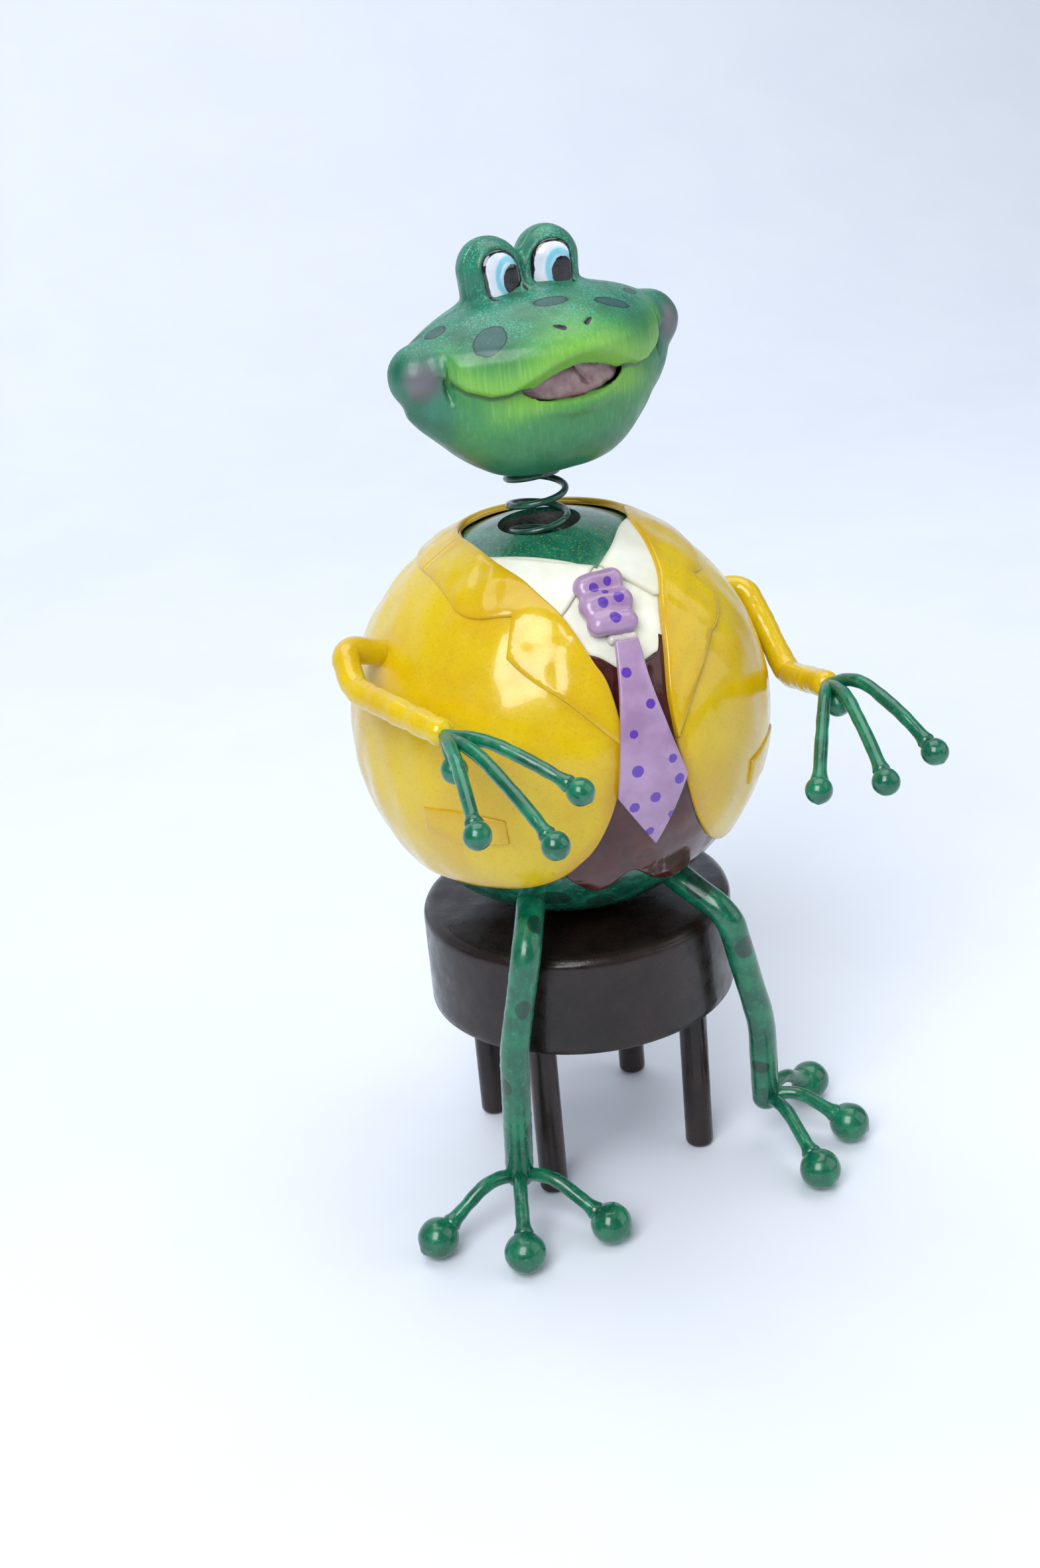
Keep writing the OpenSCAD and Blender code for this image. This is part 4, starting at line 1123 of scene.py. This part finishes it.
def head_field(p):
    """The cast head as one hollow solid, in its own frame."""
    x, y, z = p[..., 0], p[..., 1], p[..., 2]
    ax = np.abs(x)
    snout = loft(p, SNOUT)
    snout = smax(snout, np.maximum(under_lip(x, y, z), -6.5 - z), 0.45)
    jaw = loft(p, JAW)
    cavity = np.maximum(mouth_plan(x, z), np.maximum(-(jaw + 2.0), y + 4))
    jaw = smax(smin(jaw, lower_lip(p), 0.8), -cavity, 0.45)
    body = smin(snout, jaw, 0.15)
    for side in (-1, 1):
        body = smin(body, cheek(p, side), 0.9)
    # the fold between the snout and the cheek, deepest where the smile line runs into it
    fold = np.exp(-((ax - CREASE_X) / 0.5) ** 2) * smoothstep(-3.0, 0.0, z) * smoothstep(7, 3, z)
    body = body + 0.75 * fold * smoothstep(-1.0, -3.5, y)
    for side in (-1, 1):
        body = smin(body, brow_dome(p, side), 2.4)
        body = smax(body, -nostril(p, side, 0.4), 0.25)
    for side in (-1, 1):
        lid = eye_plan(x, z, side)
        recess = smoothstep(0.2, -0.4, lid) * smoothstep(2.5, 0.5, y) * smoothstep(11.6, 12.6, z)
        ridge = np.exp(-((lid - 0.7) / 0.5) ** 2) * smoothstep(3.5, 1.0, y)
        body = body + 0.35 * recess - 0.28 * ridge * smoothstep(11.5, 13.0, z)
    seam = 0.25 * np.exp(-((y - SEAM_Y) / 0.28) ** 2)
    body = body + seam + 0.05 * wave(p, 6.0, 91)
    hollow = np.minimum(loft(p, SNOUT), loft(p, JAW)) + 2.8
    return smax(body, -hollow, 0.3)


SPOTS = [((-12.6, -8.1, 7.2), (2.6, 2.6), 0.0), ((-0.8, -7.3, 11.3), (3.2, 1.2), 0.0),
         ((9.3, -7.9, 8.5), (3.0, 1.2), -42.0), ((-17.9, 0.0, 8.7), (1.6, 1.2), 10.0),
         ((16.1, -3.0, 8.7), (1.5, 0.9), -15.0), ((-6.0, 11.0, 11.0), (1.9, 1.5), 0.0),
         ((9.0, 13.0, 6.5), (2.2, 1.6), 0.0), ((-12.0, 14.0, 2.0), (2.0, 2.4), 0.0),
         ((2.0, 15.5, 1.0), (2.0, 1.4), 0.0), ((14.0, 12.5, -4.0), (1.8, 2.0), 0.0)]


def head_spots(p):
    """Distance in mm to the nearest painted spot, each an ellipse seen from its own side."""
    best = np.full(len(p), 9.0)
    for centre, (a, b), tilt in SPOTS:
        n = unit(np.array(centre) * [1, 1, 0.6])
        east, north = east_north(n)
        d = p - np.array(centre)
        t = math.radians(tilt)
        u = (d @ east) * math.cos(t) + (d @ north) * math.sin(t)
        v = -(d @ east) * math.sin(t) + (d @ north) * math.cos(t)
        away = np.maximum(np.abs(d @ n) - 4, 0)
        size = np.sqrt((u / a) ** 2 + (v / b) ** 2)
        best = np.minimum(best, (size - 1) * min(a, b) + away)
    return best


def head_paint_fields(p):
    """Where each colour of the airbrush and the painted shade under the lip lie, as a share or as a
    distance in mm.
    """
    x, y, z = p.T
    ax = np.abs(x)
    ahead = smoothstep(1.0, -5.0, y)
    over = z - lip_height(x)
    # lime: strongest along the lips, fading up the snout and round the opening's lower rim
    above = np.exp(-(np.maximum(over, 0) / 5.6) ** 1.8)
    rim = np.exp(-((z + 0.5 + 0.01 * x * x) / 4.6) ** 4) * smoothstep(19, 9, ax)
    below = 0.36 + 0.6 * rim - 0.2 * smoothstep(-7, -17, z)
    on_snout = smoothstep(-1.6, 0.1, over)
    lime = (above * on_snout + below * (1 - on_snout)) * smoothstep(23.5, 18.5, ax) * ahead
    jaw = loft(p, JAW)
    # crease: painted shade in the corner between the upper lip's underside and the jaw
    seam = (under_lip(x, y, z) / 0.55) ** 2 + (jaw / 0.55) ** 2
    crease = np.exp(-seam) * smoothstep(7.0, 10.0, ax) * smoothstep(22.5, 21.0, ax) * (y < -1)
    side_glow = np.exp(-((ax - 24.8) / 3.4) ** 2 - ((z - 2.2) / 3.6) ** 2)
    blush = side_glow * smoothstep(0.5, -3.2, y)
    speckle = np.clip(smoothstep(4, 10, z) + smoothstep(-1, 4, y) * 0.8, 0.12, 1)
    within = (mouth_plan(x, z) < 0.1) & (y < -5) & (jaw < -0.5) & (over < -1.0)
    lid = np.minimum(eye_plan(x, z, -1), eye_plan(x, z, 1))
    outline = np.where((y < 1.5) & (y > -2.6), np.abs(lid - 0.05) - 0.16, 9.0)
    black = np.min([outline, nostril(p, -1, 0.5), nostril(p, 1, 0.5)], 0)
    return {"lime": lime, "blush": blush, "speckle": speckle, "crease": crease,
            "spot": head_spots(p), "black": black, "inside": within.astype(float)}


def make_head():
    """Two half shells that meet at SEAM_Y."""
    for name, front, low_y, high_y in (("head_front_shell", True, -19, SEAM_Y + 1),
                                       ("head_back_shell", False, SEAM_Y - 1, 17)):
        def half(p, front=front):
            cut = p[..., 1] - SEAM_Y if front else SEAM_Y + 0.02 - p[..., 1]
            return np.maximum(head_field(p), cut)
        verts, quads = grow_skin(half, (-30, low_y, -21), (30, high_y, 24), 0.36)
        verts = relax(verts, quads, 1)
        add_piece(name, from_head(verts), quads, "head", HEAD_PAINT, (name,),
                  head_paint_fields(verts))


def mouth_fold(x, z):
    """Distance from the dark fold between the mouth's two lobes."""
    return np.abs(x - 1.2 + 0.75 * (z + 0.5)) + 2 * smoothstep(-2.0, -4.0, z)


def make_mouth():
    def field(p):
        x, z = p[..., 0], p[..., 2]
        fold = 0.7 * np.exp(-(mouth_fold(x, z) / 0.8) ** 2)
        jaw = loft(p, JAW)
        deep = jaw + 1.2 + fold + 0.15 * wave(p, 4.0, 95)
        return smax(np.maximum(deep, -jaw - 2.6), mouth_plan(x, z) - 0.25, 0.3)
    verts, quads = grow_skin(field, (-11, -13, -6), (11, -6, 4.5), 0.3)
    verts = relax(verts, quads, 1)
    add_piece("mouth_lining", from_head(verts), quads, "head", MOUTH_PAINT,
              ("mouth_lining",), {"crease": mouth_fold(verts[:, 0], verts[:, 2])})


def oval(x, z, middle_x, middle_z, half_x, half_z, scale):
    """About the distance from an oval's edge, less than 0 inside it."""
    return (np.hypot((x - middle_x) / half_x, (z - middle_z) / half_z) - 1) * scale


def make_eyes():
    """A shallow bulging disc in each brow dome, with the pupils painted on."""
    for name, side, pupil_at, iris_at in (("eye_right", -1, (-3.9, 15.0), (-4.65, 15.7)),
                                          ("eye_left", 1, (5.7, 14.6), (5.3, 15.2))):
        def field(p, side=side):
            skin = brow_dome(p, side) - 0.12
            inner = -(brow_dome(p, side) + 0.9)
            plan = eye_plan(p[..., 0], p[..., 2], side) - 0.2
            return np.maximum(smax(smax(skin, plan, 0.35), inner, 0.1), p[..., 1] - 2.0)
        verts, quads = grow_skin(field, (side * DOME_X - 5, -3, 11), (side * DOME_X + 5, 3, 21.5),
                                 0.22)
        verts = relax(verts, quads, 1)
        x, z = verts[:, 0], verts[:, 2]
        add_piece(name, from_head(verts), quads, "head", EYE_PAINT, (name,),
                  {"pupil": oval(x, z, *pupil_at, 2.05, 2.65, 2.1),
                   "iris": oval(x, z, *iris_at, 2.65, 3.5, 2.6), "rim": -eye_plan(x, z, side)})


# ---------------------------------------------------------------- the spring
WIRE_R = 0.625
PITCH = 4.9
COIL_START = 0.36                                       # where the wire starts, in turns
STRETCH_TURNS = (0, 0.8, 2.5, 3.15, 3.75, 4.36)
STRETCH_BODIES = (("figure",), ("figure", "head_bounce"), ("head_bounce", "head_nod"),
                  ("head_nod", "head_sway"), ("head_sway", "head"))


def make_spring():
    """One wound wire, cut at the turns where the chain's bodies meet; the first stretch rides the
    figure and the others ride no body.
    """
    low, high = corners("neck_spring_1")
    coil_r = (high[0] - low[0]) / 2 - WIRE_R

    def at(turn):
        turn = np.asarray(turn)
        a = 2 * np.pi * (turn + COIL_START)
        return np.stack([SPRING_XY[0] + coil_r * np.cos(a), SPRING_XY[1] + coil_r * np.sin(a),
                         low[2] + WIRE_R + PITCH * turn], -1)
    for k in range(len(STRETCH_BODIES)):
        a, b = STRETCH_TURNS[k], STRETCH_TURNS[k + 1]
        turns = np.linspace(a, b, int((b - a) * 72) + 1)
        verts, faces = tube_mesh(at(turns), WIRE_R, 18, (k == 0, k == 4))
        name = "neck_spring_%d" % (k + 1)
        piece = add_piece(name, verts, faces, None if k else "figure",
                          SPRING_GREEN, (name,))
        if k:
            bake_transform(piece)


# ---------------------------------------------------------------- CAD parts that stay
def paint_cad(node, material):
    mesh = frame["nodes"][node].data
    mesh.materials.clear()
    mesh.materials.append(material)


def paint_kept_parts():
    for node in ("body_top_shell", "body_bottom_shell"):
        paint_cad(node, BODY_GREEN)
    for node in ("head_spigot", "spring_post"):
        paint_cad(node, SPRING_GREEN)
    for node in ("spring_cup", "seat_screw"):
        paint_cad(node, STEEL)
    paint_cad("stool_base_plate", STOOL_BROWN)


# ---------------------------------------------------------------- light, floor and camera
def make_floor_and_backdrop():
    """A sheet that lies on the table and curves up behind the figure."""
    half, depth, rise, bend = 1.6, 1.0, 1.6, 0.5
    line = [(-1.4, 0.0)] + [(y, 0.0) for y in np.linspace(-1.0, depth - bend, 8)]
    line += [(depth - bend + bend * math.sin(t), bend - bend * math.cos(t))
             for t in np.linspace(0, math.pi / 2, 16)[1:]]
    line += [(depth, z) for z in np.linspace(bend, rise, 6)[1:]]
    xs = np.linspace(-half, half, 9)
    verts = [(x, y, z - 0.00015) for y, z in line for x in xs]
    n = len(xs)
    faces = [(i * n + k, i * n + k + 1, (i + 1) * n + k + 1, (i + 1) * n + k)
             for i in range(len(line) - 1) for k in range(n - 1)]
    sheet = add_piece("floor_sheet", np.array(verts) / MM, faces, None, FLOOR)


def make_light(name, place, aim, size, power, color=(1, 1, 1)):
    data = bpy.data.lights.new(name, "AREA")
    data.shape = "RECTANGLE"
    data.size, data.size_y = size
    data.energy = power
    data.color = color
    light = bpy.data.objects.new(name, data)
    bpy.context.scene.collection.objects.link(light)
    light.location = place
    light.rotation_mode = "QUATERNION"
    light.rotation_quaternion = (Vector(aim) - Vector(place)).to_track_quat("-Z", "Y")


def make_lights():
    aim = (0, 0, 0.1)
    make_light("window_light", (-0.7, -0.75, 1.05), aim, (0.8, 1.0), 19, (0.98, 0.99, 1.0))
    make_light("fill_light", (0.9, -0.5, 0.6), aim, (1.0, 1.0), 3.4)
    make_light("top_light", (0.1, 0.25, 1.3), aim, (1.2, 1.0), 9.0)
    world = bpy.data.worlds.new("soft_room")
    world.use_nodes = True
    world.node_tree.nodes["Background"].inputs["Color"].default_value = (0.85, 0.91, 1.0, 1)
    world.node_tree.nodes["Background"].inputs["Strength"].default_value = 0.22
    bpy.context.scene.world = world
    bpy.context.scene.view_settings.view_transform = "Standard"


def make_camera():
    """Stands where a person would hold a camera: in front, to the frog's right, looking down."""
    azimuth, elevation, roll = (math.radians(a) for a in (-20.02, 23.31, -5.37))
    place = (np.array([-126.3, -320.6, 226.3]) + AXIS) * MM
    right = np.array([math.cos(azimuth), math.sin(azimuth), 0])
    back = np.array([math.sin(azimuth) * math.cos(elevation),
                     -math.cos(azimuth) * math.cos(elevation), math.sin(elevation)])
    up = np.cross(back, right)
    tilted_right = right * math.cos(roll) + up * math.sin(roll)
    tilted_up = up * math.cos(roll) - right * math.sin(roll)
    data = bpy.data.cameras.new("camera")
    data.lens = 45.07
    data.sensor_width = 36
    data.clip_start = 0.01
    camera = bpy.data.objects.new("camera", data)
    bpy.context.scene.collection.objects.link(camera)
    rows = np.stack([tilted_right, tilted_up, back], 1).tolist()
    camera.matrix_world = Matrix.Translation(place) @ Matrix(rows).to_4x4()
    bpy.context.scene.camera = camera


make_jacket()
make_lapels()
make_pockets()
make_shirt()
make_waistcoat()
make_tie_blade()
make_tie_knot()
make_arms()
make_hands()
make_legs()
make_stool()
make_head()
make_mouth()
make_eyes()
make_spring()
paint_kept_parts()
make_floor_and_backdrop()
make_lights()
make_camera()
